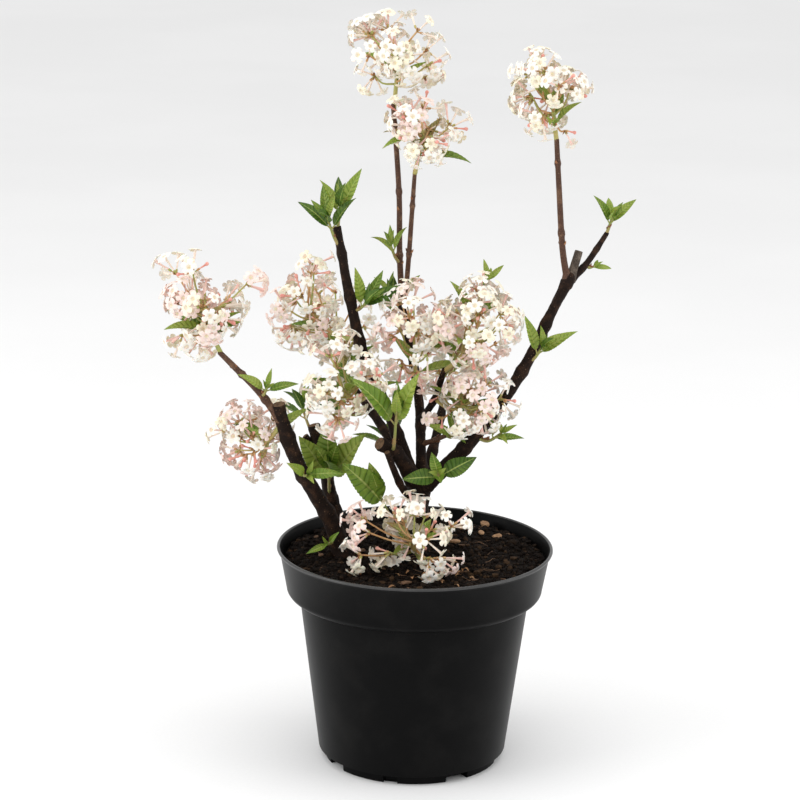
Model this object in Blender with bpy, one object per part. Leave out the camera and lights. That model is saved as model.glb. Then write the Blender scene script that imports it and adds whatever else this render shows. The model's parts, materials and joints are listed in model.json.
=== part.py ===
"""A winter-flowering viburnum in its nursery pot, pruned hard in the past and now in full bloom.

Metres, +Z up. The origin is the middle of the pot's flat underside, and the front of the plant faces -Y.
The pot and the compost are turned solids. Every stem and bough is one tapering limb, cut back clear of the
limb that carries it. Each blossom mass and leaf spray is one solid: a stem, three-sided twigs that fork from
it by a seeded rule, and the leaves and trumpet flowers fused to them.
"""

import math
import random

import bmesh
import bpy
from mathutils import Matrix, Vector
from mathutils.bvhtree import BVHTree

CLEARANCE = 0.0003
UP = Vector((0.0, 0.0, 1.0))

# The pot: outer radii and heights, from the foot to the rolled lip
POT_SEGMENTS = 40
POT_WALL = 0.0014
FOOT_RADIUS = 0.0605
FOOT_HEIGHT = 0.0065
FOOT_EDGE = 0.0010
FLOOR_HEIGHT = 0.0095
WALL_FOOT_RADIUS = 0.0650
WALL_TOP_RADIUS = 0.0791
WALL_TOP_HEIGHT = 0.1165
BAND_RADIUS = 0.0882
BAND_HEIGHT = 0.1230
LIP_RADIUS = 0.0950
POT_HEIGHT = 0.1518
LIP_ROLL = 0.0022
DEEP_NOTCHES = 4
DEEP_NOTCH_WIDTH = 0.017
DEEP_NOTCH_DEPTH = 0.0085
SHALLOW_NOTCH_WIDTH = 0.010
SHALLOW_NOTCH_DEPTH = 0.0035
NOTCH_HEIGHT = 0.0048
NOTCH_CUTTER = 0.012
NOTCH_TURN = math.radians(31)

# The compost, filled to a little below the lip
COMPOST_TOP = 0.1450
COMPOST_EDGE_DROP = 0.0030
COMPOST_SHOULDER = 0.0060
COMPOST_FLAT_FROM = 0.0160

# The limbs: name, points from foot to tip, and the radius at each point
LIMB_SIDES = 6
STEM_FOOT = COMPOST_TOP + CLEARANCE
ROOT_FLARE = 1.45
FLARE_HEIGHT = 0.014
LIMBS = (
    ("trunk", ((0.000, 0.012, STEM_FOOT), (0.001, 0.010, 0.166), (0.003, 0.010, 0.197)), (0.0082, 0.0070, 0.0082)),
    ("left_stem", ((-0.048, -0.001, STEM_FOOT), (-0.059, -0.004, 0.172), (-0.079, -0.013, 0.210),
                   (-0.091, -0.022, 0.245), (-0.093, -0.024, 0.257)), (0.0062, 0.0056, 0.0050, 0.0048, 0.0047)),
    ("rear_left_stem", ((-0.046, 0.030, STEM_FOOT), (-0.058, 0.030, 0.172), (-0.063, 0.030, 0.198),
                        (-0.071, 0.030, 0.228)), (0.0060, 0.0050, 0.0047, 0.0045)),
    ("right_bough", ((0.006, 0.008, 0.193), (0.027, 0.002, 0.215), (0.052, -0.003, 0.248), (0.072, -0.005, 0.281),
                     (0.090, -0.003, 0.320), (0.101, -0.002, 0.343)),
     (0.0056, 0.0049, 0.0043, 0.0040, 0.0035, 0.0040)),
    ("upper_left_bough", ((-0.001, 0.008, 0.194), (-0.016, 0.007, 0.236), (-0.036, 0.005, 0.283),
                          (-0.046, 0.005, 0.322), (-0.056, 0.007, 0.373)), (0.0048, 0.0042, 0.0038, 0.0036, 0.0028)),
    ("centre_bough", ((0.004, 0.012, 0.196), (0.003, 0.017, 0.218), (0.001, 0.024, 0.250), (-0.011, 0.030, 0.316)),
     (0.0044, 0.0036, 0.0033, 0.0028)),
    ("back_left_bough", ((-0.001, 0.014, 0.190), (-0.022, 0.040, 0.222), (-0.048, 0.063, 0.252)),
     (0.0042, 0.0033, 0.0024)),
    ("back_right_bough", ((0.005, 0.013, 0.190), (0.014, 0.038, 0.220), (0.021, 0.062, 0.250)),
     (0.0042, 0.0032, 0.0024)),
    ("pruned_branch", ((-0.002, 0.006, 0.198), (-0.014, -0.005, 0.219), (-0.025, -0.014, 0.228)),
     (0.0052, 0.0049, 0.0047)),
    ("thin_front_branch", ((-0.002, 0.006, 0.184), (-0.010, -0.006, 0.196), (-0.020, -0.018, 0.223)),
     (0.0030, 0.0025, 0.0021)),
    ("rear_left_stub", ((-0.064, 0.030, 0.204), (-0.077, 0.028, 0.221)), (0.0026, 0.0022)),
    ("left_shoot", ((-0.092, -0.023, 0.246), (-0.106, -0.026, 0.266), (-0.122, -0.031, 0.284),
                    (-0.132, -0.034, 0.295)), (0.0027, 0.0024, 0.0021, 0.0018)),
    ("centre_twig", ((0.003, 0.018, 0.219), (0.012, 0.011, 0.224), (0.021, 0.007, 0.229)), (0.0020, 0.0017, 0.0015)),
    ("blossom_branch", ((0.002, 0.021, 0.235), (0.011, 0.009, 0.252), (0.018, 0.000, 0.277)),
     (0.0027, 0.0023, 0.0018)),
    ("centre_left_shoot", ((-0.011, 0.030, 0.311), (-0.0135, 0.031, 0.350), (-0.0145, 0.032, 0.392),
                           (-0.0192, 0.032, 0.452)), (0.0023, 0.0020, 0.0019, 0.0017)),
    ("centre_right_shoot", ((-0.010, 0.030, 0.312), (-0.0075, 0.024, 0.345), (-0.0055, 0.018, 0.383),
                            (-0.004, 0.014, 0.411)), (0.0019, 0.0017, 0.0016, 0.0014)),
    ("right_top_shoot", ((0.100, -0.002, 0.338), (0.0955, -0.004, 0.362), (0.092, -0.006, 0.402),
                         (0.0892, -0.008, 0.437)), (0.0025, 0.0021, 0.0019, 0.0017)),
    ("right_grey_stub", ((0.101, -0.001, 0.340), (0.107, 0.005, 0.359)), (0.0031, 0.0028)),
    ("right_spur", ((0.101, 0.000, 0.339), (0.113, 0.007, 0.351), (0.126, 0.014, 0.370)), (0.0025, 0.0021, 0.0016)),
)

# The flowers and leaves, a little larger than life because they stand for more of them
STEM_UPTURN = 0.22
STEM_THICKNESS = (0.0017, 0.0013)
SHOOT_THICKNESS = (0.0013, 0.0009)
TWIG_THICKNESS = (0.0008, 0.0010)
FLOWER_REACH = 0.0078
FLOWER_NOTCH = 0.0052
FLOWER_DISH = 0.0008
FLOWER_THROAT = 0.0016
FLOWER_ROOT = 0.00045
FLOWER_TUBE = 0.0022
TWIG_FLOWERS = 3.2
TWIG_SPACING = 0.0024
LEAF_SINK = 0.0002
BLOSSOM_LEAF = (0.026, 0.036)
LEAF_THICKNESS = 0.0009
LEAF_WIDTH_SHARE = 0.38
LEAF_ARCH = 0.09
LEAF_FOLD = 0.30
LEAF_WIDEST = 0.46
MIDDLE_DEPTH = 0.022
BERTH = 0.0005
TRIES = 7

# The blossom masses: name, the limb that carries it, how far along that limb, centre and half sizes of its
# own space, number of flowers and of leaves
BLOSSOMS = (
    ("blossom_top_left", "left_shoot", 0.96, (-0.144, -0.036, 0.328), (0.042, 0.036, 0.040), 19, 5),
    ("blossom_top", "centre_left_shoot", 0.98, (-0.016, 0.034, 0.487), (0.036, 0.033, 0.027), 16, 2),
    ("blossom_below_top", "centre_right_shoot", 0.97, (0.001, 0.009, 0.439), (0.035, 0.029, 0.026), 13, 3),
    ("blossom_top_right", "right_top_shoot", 0.98, (0.085, -0.008, 0.467), (0.032, 0.030, 0.033), 16, 3),
    ("blossom_upper_left", "upper_left_bough", 0.58, (-0.077, 0.019, 0.318), (0.027, 0.028, 0.034), 13, 1),
    ("blossom_low_left", "left_stem", 0.74, (-0.111, -0.008, 0.225), (0.028, 0.030, 0.038), 14, 2),
    ("blossom_middle_left", "upper_left_bough", 0.40, (-0.050, -0.030, 0.268), (0.035, 0.028, 0.040), 17, 3),
    ("blossom_right_high", "blossom_branch", 0.97, (0.041, -0.014, 0.314), (0.033, 0.030, 0.032), 16, 2),
    ("blossom_middle", "centre_bough", 0.72, (-0.003, -0.004, 0.303), (0.030, 0.028, 0.036), 14, 2),
    ("blossom_right_low", "blossom_branch", 0.55, (0.037, -0.010, 0.258), (0.033, 0.028, 0.024), 13, 3),
    ("blossom_foot", "trunk", 0.36, (-0.001, -0.046, 0.1715), (0.050, 0.034, 0.029), 17, 5),
    ("blossom_back_left", "back_left_bough", 0.97, (-0.058, 0.080, 0.283), (0.032, 0.030, 0.034), 14, 4),
    ("blossom_back_right", "back_right_bough", 0.97, (0.027, 0.081, 0.278), (0.034, 0.030, 0.032), 14, 4),
)

# The leaf sprays: name, limb, how far along it, tip of the shoot, leaf length, pairs, how wide the pairs
# open and how the first pair is turned, both in degrees
SPRAYS = (
    ("spray_upper_left_outer", "upper_left_bough", 0.93, (-0.062, 0.000, 0.380), 0.034, 2, 38, 0),
    ("spray_upper_left_tip", "upper_left_bough", 0.985, (-0.054, 0.006, 0.388), 0.034, 2, 30, 20),
    ("spray_right_tip", "right_spur", 0.97, (0.129, 0.014, 0.380), 0.026, 2, 40, 10),
    ("spray_right_fork", "right_spur", 0.45, (0.117, 0.008, 0.348), 0.016, 1, 45, 0),
    ("spray_right_bough_high", "right_bough", 0.62, (0.083, -0.012, 0.296), 0.033, 2, 42, 0),
    ("spray_right_bough_low", "right_bough", 0.30, (0.057, -0.012, 0.236), 0.024, 2, 52, 15),
    ("spray_centre", "centre_twig", 0.97, (0.026, 0.000, 0.232), 0.028, 2, 60, 30),
    ("spray_right_foot", "right_bough", 0.12, (0.015, -0.014, 0.206), 0.028, 2, 70, 0),
    ("spray_above_right", "blossom_branch", 0.80, (0.047, 0.018, 0.336), 0.030, 2, 48, 0),
    ("spray_beside_upper_left", "upper_left_bough", 0.72, (-0.036, 0.000, 0.322), 0.034, 2, 30, 0),
    ("spray_long_pair", "pruned_branch", 0.60, (-0.014, -0.042, 0.257), 0.048, 1, 30, 0),
    ("spray_left_foot", "rear_left_stem", 0.42, (-0.060, 0.010, 0.203), 0.046, 2, 26, 0),
    ("spray_broad_leaf", "trunk", 0.14, (-0.026, -0.004, 0.192), 0.044, 1, 20, 0),
    ("spray_left_shoot", "left_shoot", 0.30, (-0.101, -0.032, 0.270), 0.026, 1, 58, 0),
    ("spray_centre_shoot", "centre_left_shoot", 0.28, (-0.020, 0.024, 0.358), 0.022, 2, 32, 0),
    ("spray_left_stem", "left_stem", 0.50, (-0.074, -0.022, 0.207), 0.028, 1, 50, 20),
    ("spray_foot_left", "left_stem", 0.16, (-0.060, -0.014, 0.156), 0.017, 1, 55, 0),
    ("spray_back_low", "back_left_bough", 0.35, (-0.022, 0.052, 0.214), 0.034, 2, 48, 0),
    ("spray_back_right", "back_right_bough", 0.55, (0.036, 0.060, 0.232), 0.034, 2, 46, 45),
    ("spray_back_left", "back_left_bough", 0.70, (-0.058, 0.052, 0.238), 0.032, 2, 46, 20),
    ("spray_back_high", "centre_bough", 0.86, (-0.020, 0.052, 0.318), 0.034, 2, 40, 10),
    ("spray_rear_stem", "rear_left_stem", 0.90, (-0.080, 0.044, 0.238), 0.032, 2, 44, 0),
)

# Colour (linear RGB) and roughness of each material
FINISHES = {
    "black_plastic": ((0.012, 0.012, 0.012), 0.55),
    "compost": ((0.020, 0.012, 0.007), 0.95),
    "bark": ((0.060, 0.030, 0.018), 0.80),
    "shoot_bark": ((0.160, 0.085, 0.050), 0.65),
    "blossom": ((0.860, 0.760, 0.700), 0.60),
    "foliage": ((0.120, 0.200, 0.030), 0.55),
}


def clear_scene():
    for obj in list(bpy.data.objects):
        bpy.data.objects.remove(obj, do_unlink=True)


def material(slot):
    """The Principled material of one slot of FINISHES, made once."""
    known = bpy.data.materials.get(slot)
    if known:
        return known
    colour, roughness = FINISHES[slot]
    made = bpy.data.materials.new(slot)
    made.use_nodes = True
    shader = made.node_tree.nodes["Principled BSDF"]
    shader.inputs["Base Color"].default_value = (*colour, 1.0)
    shader.inputs["Roughness"].default_value = roughness
    return made


def solid(name, points, faces, slot=None):
    """An object of these points and faces, its normals turned outwards."""
    mesh = bpy.data.meshes.new(name)
    mesh.from_pydata(points, [], faces)
    work = bmesh.new()
    work.from_mesh(mesh)
    bmesh.ops.recalc_face_normals(work, faces=work.faces)
    work.to_mesh(mesh)
    work.free()
    obj = bpy.data.objects.new(name, mesh)
    bpy.context.scene.collection.objects.link(obj)
    if slot:
        mesh.materials.append(material(slot))
    return obj


def smooth_shading(obj, angle):
    obj.data.shade_smooth()
    obj.data.set_sharp_from_angle(angle=math.radians(angle))


def turned(name, profile, slot):
    """A solid of revolution round Z. The profile starts and ends on the axis."""
    work = bmesh.new()
    corners = [work.verts.new((radius, 0.0, height)) for radius, height in profile]
    edges = [work.edges.new(pair) for pair in zip(corners, corners[1:])]
    bmesh.ops.spin(
        work, geom=corners + edges, cent=(0, 0, 0), axis=UP, angle=math.tau, steps=POT_SEGMENTS, use_duplicate=False
    )
    bmesh.ops.remove_doubles(work, verts=work.verts, dist=0.00001)
    bmesh.ops.recalc_face_normals(work, faces=work.faces)
    mesh = bpy.data.meshes.new(name)
    work.to_mesh(mesh)
    work.free()
    mesh.materials.append(material(slot))
    obj = bpy.data.objects.new(name, mesh)
    bpy.context.scene.collection.objects.link(obj)
    return obj


def apply_boolean(obj, operation, cutter=None, collection=None):
    """Joins or cuts with another object or a collection of them, which are then removed."""
    boolean = obj.modifiers.new(operation.lower(), "BOOLEAN")
    boolean.operation = operation
    boolean.solver = "EXACT"
    if collection:
        boolean.operand_type = "COLLECTION"
        boolean.collection = collection
    else:
        boolean.object = cutter
    mesh = bpy.data.meshes.new_from_object(obj.evaluated_get(bpy.context.evaluated_depsgraph_get()))
    obj.modifiers.clear()
    obj.data = mesh
    spent = list(collection.objects) if collection else [cutter]
    for spare in spent:
        bpy.data.objects.remove(spare, do_unlink=True)
    if collection:
        bpy.data.collections.remove(collection)


def keep_main_body(obj):
    """Drops loose scraps and fills sealed hollows: only the largest closed shell stays."""
    work = bmesh.new()
    work.from_mesh(obj.data)
    unseen = set(work.faces)
    shells = []
    while unseen:
        shell = [unseen.pop()]
        for face in shell:
            for edge in face.edges:
                for other in edge.link_faces:
                    if other in unseen:
                        unseen.remove(other)
                        shell.append(other)
        shells.append(shell)
    shells.sort(key=lambda shell: sum(face.calc_area() for face in shell))
    for shell in shells[:-1]:
        bmesh.ops.delete(work, geom=shell, context="FACES")
    bmesh.ops.triangulate(work, faces=work.faces)
    work.to_mesh(obj.data)
    work.free()


def pot_outline(inset):
    """Radius and height up the pot's side, from the wall's foot to under the lip, set in by inset."""
    band_curve = [
        (
            WALL_TOP_RADIUS + (BAND_RADIUS - WALL_TOP_RADIUS) * math.sin(turn),
            WALL_TOP_HEIGHT + (BAND_HEIGHT - WALL_TOP_HEIGHT) * (1.0 - math.cos(turn)),
        )
        for turn in (0.0, math.radians(35), math.radians(90))
    ]
    under_lip = (LIP_RADIUS - LIP_ROLL / 2, POT_HEIGHT - 2 * LIP_ROLL)
    outer = [(WALL_FOOT_RADIUS, FOOT_HEIGHT + FOOT_EDGE), *band_curve, under_lip]
    return [(radius - inset, height) for radius, height in outer]


def pot():
    """Injection-moulded pot: a notched foot, a tapering wall, a wider band and a rolled lip."""
    rim = [
        (LIP_RADIUS, POT_HEIGHT - LIP_ROLL / 2),
        (LIP_RADIUS - LIP_ROLL / 3, POT_HEIGHT),
        (LIP_RADIUS - LIP_ROLL, POT_HEIGHT - LIP_ROLL / 4),
    ]
    inside = list(reversed(pot_outline(POT_WALL)))
    inside[-1] = (WALL_FOOT_RADIUS - POT_WALL, FLOOR_HEIGHT)
    profile = [
        (0.0, 0.0),
        (FOOT_RADIUS, 0.0),
        (FOOT_RADIUS + FOOT_EDGE / 2, FOOT_HEIGHT),
        (WALL_FOOT_RADIUS - FOOT_EDGE, FOOT_HEIGHT),
        *pot_outline(0.0),
        *rim,
        *inside,
        (0.0, FLOOR_HEIGHT),
    ]
    shell = turned("pot", profile, "black_plastic")
    for notch in range(2 * DEEP_NOTCHES):
        deep = notch % 2 == 0
        width = DEEP_NOTCH_WIDTH if deep else SHALLOW_NOTCH_WIDTH
        depth = DEEP_NOTCH_DEPTH if deep else SHALLOW_NOTCH_DEPTH
        turn = NOTCH_TURN + notch * math.pi / DEEP_NOTCHES - math.pi / 2
        length = depth + NOTCH_CUTTER
        middle = (FOOT_RADIUS - depth + length / 2, 0.0, NOTCH_HEIGHT - NOTCH_CUTTER / 2)
        bpy.ops.mesh.primitive_cube_add(size=1.0)
        cutter = bpy.context.object
        cutter.data.transform(Matrix.Diagonal((length, width, NOTCH_CUTTER, 1.0)))
        cutter.data.transform(Matrix.Rotation(turn, 4, "Z") @ Matrix.Translation(middle))
        apply_boolean(shell, "DIFFERENCE", cutter)
    keep_main_body(shell)
    smooth_shading(shell, 40)
    return shell


def compost():
    """The compost that fills the pot, a hair clear of its wall, and falls a little towards the edge."""
    side = pot_outline(POT_WALL + CLEARANCE)
    side[0] = (WALL_FOOT_RADIUS - POT_WALL - CLEARANCE, FLOOR_HEIGHT + CLEARANCE)
    low, high = side[-2], side[-1]
    edge_height = COMPOST_TOP - COMPOST_EDGE_DROP
    share = (edge_height - low[1]) / (high[1] - low[1])
    edge_radius = low[0] + share * (high[0] - low[0])
    profile = [
        (0.0, side[0][1]),
        *side[:-1],
        (edge_radius, edge_height),
        (edge_radius - COMPOST_SHOULDER, COMPOST_TOP - COMPOST_EDGE_DROP / 5),
        (edge_radius - COMPOST_FLAT_FROM, COMPOST_TOP),
        (0.0, COMPOST_TOP),
    ]
    fill = turned("compost", profile, "compost")
    smooth_shading(fill, 50)
    return fill


def curve_through(points, radii, steps):
    """Points and radii on a smooth curve through the given ones, steps to each stretch."""
    spots = [Vector(point) for point in points]
    ends = [2 * spots[0] - spots[1], *spots, 2 * spots[-1] - spots[-2]]
    path, widths = [], []
    for index in range(len(spots) - 1):
        before, start, stop, after = ends[index : index + 4]
        for step in range(steps):
            t = step / steps
            path.append(
                0.5
                * (
                    2 * start
                    + (stop - before) * t
                    + (2 * before - 5 * start + 4 * stop - after) * t * t
                    + (3 * start - before - 3 * stop + after) * t * t * t
                )
            )
            widths.append(radii[index] + (radii[index + 1] - radii[index]) * t)
    return path + [spots[-1]], widths + [radii[-1]]


def frames_along(path, first_normal=None):
    """Two cross directions at each point of a path, carried along it without twist."""
    tangents = []
    for index in range(len(path)):
        ahead = path[min(index + 1, len(path) - 1)]
        behind = path[max(index - 1, 0)]
        tangents.append((ahead - behind).normalized())
    if first_normal:
        tangents[0] = first_normal
    across = tangents[0].orthogonal().normalized()
    frames = []
    for index, tangent in enumerate(tangents):
        if index:
            across = tangents[index - 1].rotation_difference(tangent) @ across
        across = (across - tangent * across.dot(tangent)).normalized()
        frames.append((across, tangent.cross(across)))
    return frames


def tube_mesh(path, widths, sides, first_normal=None):
    """Points and faces of a closed tube, flat at both ends."""
    points, faces = [], []
    frames = frames_along(path, first_normal)
    for centre, width, (across, along) in zip(path, widths, frames):
        for side in range(sides):
            turn = math.tau * side / sides
            points.append(centre + width * (math.cos(turn) * across + math.sin(turn) * along))
    for ring in range(len(path) - 1):
        for side in range(sides):
            here, there = ring * sides + side, ring * sides + (side + 1) % sides
            faces.append((here, there, there + sides, here + sides))
    faces.append(tuple(reversed(range(sides))))
    faces.append(tuple(range(len(points) - sides, len(points))))
    return points, faces


def limb_shape(points, radii, swell=0.0):
    """A limb's tube. swell makes the fatter, longer copy that its neighbours are cut with."""
    path, widths = curve_through(points, radii, 2)
    standing = points[0][2] == STEM_FOOT
    if standing:
        rise = FLARE_HEIGHT / (path[1].z - path[0].z)
        path.insert(1, path[0].lerp(path[1], min(rise, 0.7)))
        widths.insert(1, widths[0] * 1.04)
        widths[0] *= ROOT_FLARE
    if swell:
        path[-1] = path[-1] + (path[-1] - path[-2]).normalized() * swell
        if not standing:
            path[0] = path[0] + (path[0] - path[1]).normalized() * swell
        widths = [width + swell / math.cos(math.pi / LIMB_SIDES) for width in widths]
    return tube_mesh(path, widths, LIMB_SIDES, UP if standing else None)


def tree_of(obj):
    mesh = obj.data
    return BVHTree.FromPolygons([v.co.copy() for v in mesh.vertices], [tuple(p.vertices) for p in mesh.polygons])


def cut_clear(obj, limbs_made):
    """Cuts a limb or stem back from every limb that it runs into, which leaves the clearance between them."""
    for name, points, radii in limbs_made:
        cutter = solid("cutter", *limb_shape(points, radii, CLEARANCE))
        if tree_of(obj).overlap(tree_of(cutter)):
            apply_boolean(obj, "DIFFERENCE", cutter)
        else:
            bpy.data.objects.remove(cutter, do_unlink=True)
    keep_main_body(obj)


def limbs():
    """The stems, boughs, shoots and pruned stubs, from the stoutest to the slightest."""
    made = []
    for index, (name, points, radii) in enumerate(LIMBS):
        slot = "shoot_bark" if "shoot" in name or "twig" in name else "bark"
        limb = solid(name, *limb_shape(points, radii), slot)
        cut_clear(limb, LIMBS[:index])
        smooth_shading(limb, 50)
        made.append(limb)
    return made


def place_on(limb_name, share):
    """The point on a limb's axis this share of the way from its foot to its tip."""
    points, radii = next((points, radii) for name, points, radii in LIMBS if name == limb_name)
    path, _ = curve_through(points, radii, 6)
    index = min(int(share * (len(path) - 1)), len(path) - 2)
    rest = share * (len(path) - 1) - index
    return path[index].lerp(path[index + 1], rest)


def stitched(lower, upper):
    """Triangles between two rings of corners that may differ in number."""
    faces = []
    low = 0
    for index in range(len(upper)):
        following = round((index + 1) * len(lower) / len(upper))
        faces.append((lower[low % len(lower)], upper[(index + 1) % len(upper)], upper[index]))
        if following > low:
            faces.append((lower[low % len(lower)], lower[following % len(lower)], upper[(index + 1) % len(upper)]))
            low = following
    return faces


def twig_mesh(start, end):
    """A three-sided twig from the middle of what carries it."""
    return tube_mesh([start, end], TWIG_THICKNESS, 3)


def flower_mesh(root, mouth, size, roll):
    """A trumpet flower: a three-sided tube from its root, opening to a star of five lobes at its mouth."""
    heading = (mouth - root).normalized()
    across = heading.orthogonal().normalized()
    aside = heading.cross(across)

    def ring(centre, radii):
        corners = []
        for index, radius in enumerate(radii):
            turn = roll + math.tau * index / len(radii)
            corners.append(centre + radius * (math.cos(turn) * across + math.sin(turn) * aside))
        return corners

    lobes = [size * (FLOWER_REACH if index % 2 == 0 else FLOWER_NOTCH) for index in range(10)]
    points = ring(root, [FLOWER_ROOT] * 3)
    points += ring(mouth - heading * FLOWER_TUBE, [FLOWER_THROAT * size] * 3)
    points += ring(mouth, lobes)
    points.append(mouth - heading * FLOWER_DISH)
    faces = [(2, 1, 0)]
    for side in range(3):
        after = (side + 1) % 3
        faces += [(side, after, 3 + after), (side, 3 + after, 3 + side)]
    faces += stitched([3, 4, 5], list(range(6, 16)))
    faces += [(16, 6 + index, 6 + (index + 1) % 10) for index in range(10)]
    return points, faces


def leaf_mesh(root, heading, length, facing):
    """A leaf blade of eight faces: pointed at both ends, arched, thickest along its midrib."""
    aside = heading.cross(facing).normalized()
    normal = aside.cross(heading).normalized()
    half_width = length * LEAF_WIDTH_SHARE / 2
    middle = root + heading * length * LEAF_WIDEST + normal * length * LEAF_ARCH
    rise = normal * LEAF_THICKNESS / 2
    points = [
        root - heading * LEAF_SINK,
        middle + aside * half_width + normal * half_width * LEAF_FOLD,
        root + heading * length,
        middle - aside * half_width + normal * half_width * LEAF_FOLD,
        middle + rise,
        middle - rise,
    ]
    faces = []
    for index in range(4):
        after = (index + 1) % 4
        faces += [(index, after, 4), (after, index, 5)]
    return points, faces


def star_of(points):
    """A flower's points with its tube drawn up into the mouth, which leaves the star."""
    mouth = points[16]
    return [mouth.lerp(point, 0.3) if index < 3 else point for index, point in enumerate(points)]


def blade_of(points):
    """A leaf's points with its root drawn out along the blade."""
    return [points[0].lerp(points[4], 0.6), *points[1:]]


class Surroundings:
    """What stands already, against which each new twig, leaf or flower is tried."""

    def __init__(self, objects):
        self.points, self.faces, self.owners = [], [], []
        for obj in objects:
            corners = [vertex.co.copy() for vertex in obj.data.vertices]
            self.add(corners, [tuple(face.vertices) for face in obj.data.polygons], obj.name)
        self.refresh()

    def add(self, points, faces, owner):
        first = len(self.points)
        self.points += points
        self.faces += [tuple(first + corner for corner in face) for face in faces]
        self.owners += [owner] * len(faces)

    def refresh(self):
        self.tree = BVHTree.FromPolygons(self.points, self.faces)

    def is_free(self, points, faces, owner):
        """True where this shape meets nothing but its own mass, with a berth all round it."""
        middle = sum(points, Vector()) / len(points)
        reach = max((point - middle).length for point in points)
        grown = [middle + (point - middle) * (1.0 + BERTH / reach) for point in points]
        hits = BVHTree.FromPolygons(grown, faces).overlap(self.tree)
        if any(self.owners[theirs] != owner for _, theirs in hits):
            return False
        for point in points:
            spot, _, face, _ = self.tree.find_nearest(point, BERTH)
            if spot is not None and self.owners[face] != owner:
                return False
        lowest = min(point.z for point in points)
        return lowest > COMPOST_TOP + BERTH


def spread_directions(count, turn):
    """Unit vectors spread evenly over a sphere, from the bottom up."""
    golden = math.pi * (3.0 - math.sqrt(5.0))
    directions = []
    for index in range(count):
        height = -1.0 + 2.0 * (index + 0.5) / count
        flat = math.sqrt(1.0 - height * height)
        around = turn + golden * index
        directions.append(Vector((flat * math.cos(around), flat * math.sin(around), height)))
    return directions


def nudged(direction, amount, chance):
    """A direction turned a little, at random but seeded."""
    shift = Vector((chance.gauss(0, 1), chance.gauss(0, 1), chance.gauss(0, 1)))
    return (direction + shift * amount).normalized()


def mass_stem(name, limb, share, end, thickness, slot):
    """The stem of a mass, from the axis of the limb that carries it but cut clear of that limb, and its path."""
    start = place_on(limb, share)
    run = Vector((end.x - start.x, end.y - start.y, 0.0)).length
    middle = start.lerp(end, 0.5) - UP * run * STEM_UPTURN
    stem = solid(name, *tube_mesh([start, middle, end], [thickness[0], sum(thickness) / 2, thickness[1]], 4), slot)
    cut_clear(stem, LIMBS)
    return stem, [start, middle, end]


class Mass:
    """One mass as it grows: its stem, and the twigs, leaves and flowers to be joined to it."""

    def __init__(self, stem, path, around):
        self.stem, self.path, self.around = stem, path, around
        self.pieces = bpy.data.collections.new(stem.name + "_pieces")
        self.grown = []

    def on_stem(self, share):
        """The point this share of the way along the stem, from its limb to its end."""
        start, middle, end = self.path
        return start.lerp(middle, 2 * share) if share < 0.5 else middle.lerp(end, 2 * share - 1)

    def add(self, points, faces, open_part=None):
        """Takes a piece into the mass if it stands free of other things, and its open part of its own mass too.

        The open part, a flower's star or a leaf's outer blade, is given as a function of the piece's points.
        """
        if not self.around.is_free(points, faces, self.stem.name):
            return False
        whole = BVHTree.FromPolygons(points, faces)
        blade = BVHTree.FromPolygons(open_part(points), faces) if open_part else None
        for other_whole, other_blade in self.grown:
            if (blade and blade.overlap(other_whole)) or (other_blade and other_blade.overlap(whole)):
                return False
        self.grown.append((whole, blade))
        piece = solid("piece", points, faces)
        bpy.context.scene.collection.objects.unlink(piece)
        self.pieces.objects.link(piece)
        self.around.add(points, faces, self.stem.name)
        return True

    def join(self):
        apply_boolean(self.stem, "UNION", collection=self.pieces)
        keep_main_body(self.stem)
        self.around.refresh()


def grow_blossom(mass, centre, radii, flowers, leaves):
    """Fills a mass's own space with flowers on forking twigs, and sets leaves below them."""
    chance = random.Random(mass.stem.name)
    middle, size = Vector(centre), Vector(radii)
    count = round(flowers / TWIG_FLOWERS)
    twigs = []
    for index, direction in enumerate(spread_directions(count, chance.uniform(0, math.tau))):
        start = mass.on_stem(0.50 + 0.48 * (index + 0.5) / count)
        reach = chance.uniform(0.40, 0.52)
        end = middle + Vector(direction[i] * size[i] * reach for i in range(3))
        if mass.add(*twig_mesh(start, end)):
            twigs.append({"aim": direction, "start": start, "end": end, "used": 0})
    for direction in spread_directions(flowers, chance.uniform(0, math.tau)):
        for attempt in range(TRIES):
            aim = nudged(direction, 0.04 + 0.06 * attempt, chance)
            out = chance.uniform(0.86, 0.97) - 0.035 * attempt
            mouth = middle + Vector(aim[i] * size[i] * out for i in range(3))
            twig = max(twigs, key=lambda entry: entry["aim"].dot(aim) - 0.08 * entry["used"])
            back = (twig["start"] - twig["end"]).normalized()
            root = twig["end"] + back * (FLOWER_ROOT + TWIG_SPACING * twig["used"])
            if mass.add(*flower_mesh(root, mouth, chance.uniform(0.9, 1.1), chance.uniform(0, 1)), star_of):
                twig["used"] += 1
                break
    for index in range(leaves):
        for attempt in range(TRIES):
            about = math.tau * (index / leaves + chance.uniform(-0.08, 0.08)) + attempt
            heading = Vector((math.cos(about), math.sin(about), chance.uniform(-0.2, 0.7))).normalized()
            root = mass.on_stem(0.36 + 0.05 * index)
            if mass.add(*leaf_mesh(root, heading, chance.uniform(*BLOSSOM_LEAF), UP), blade_of):
                break
    mass.join()


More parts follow.
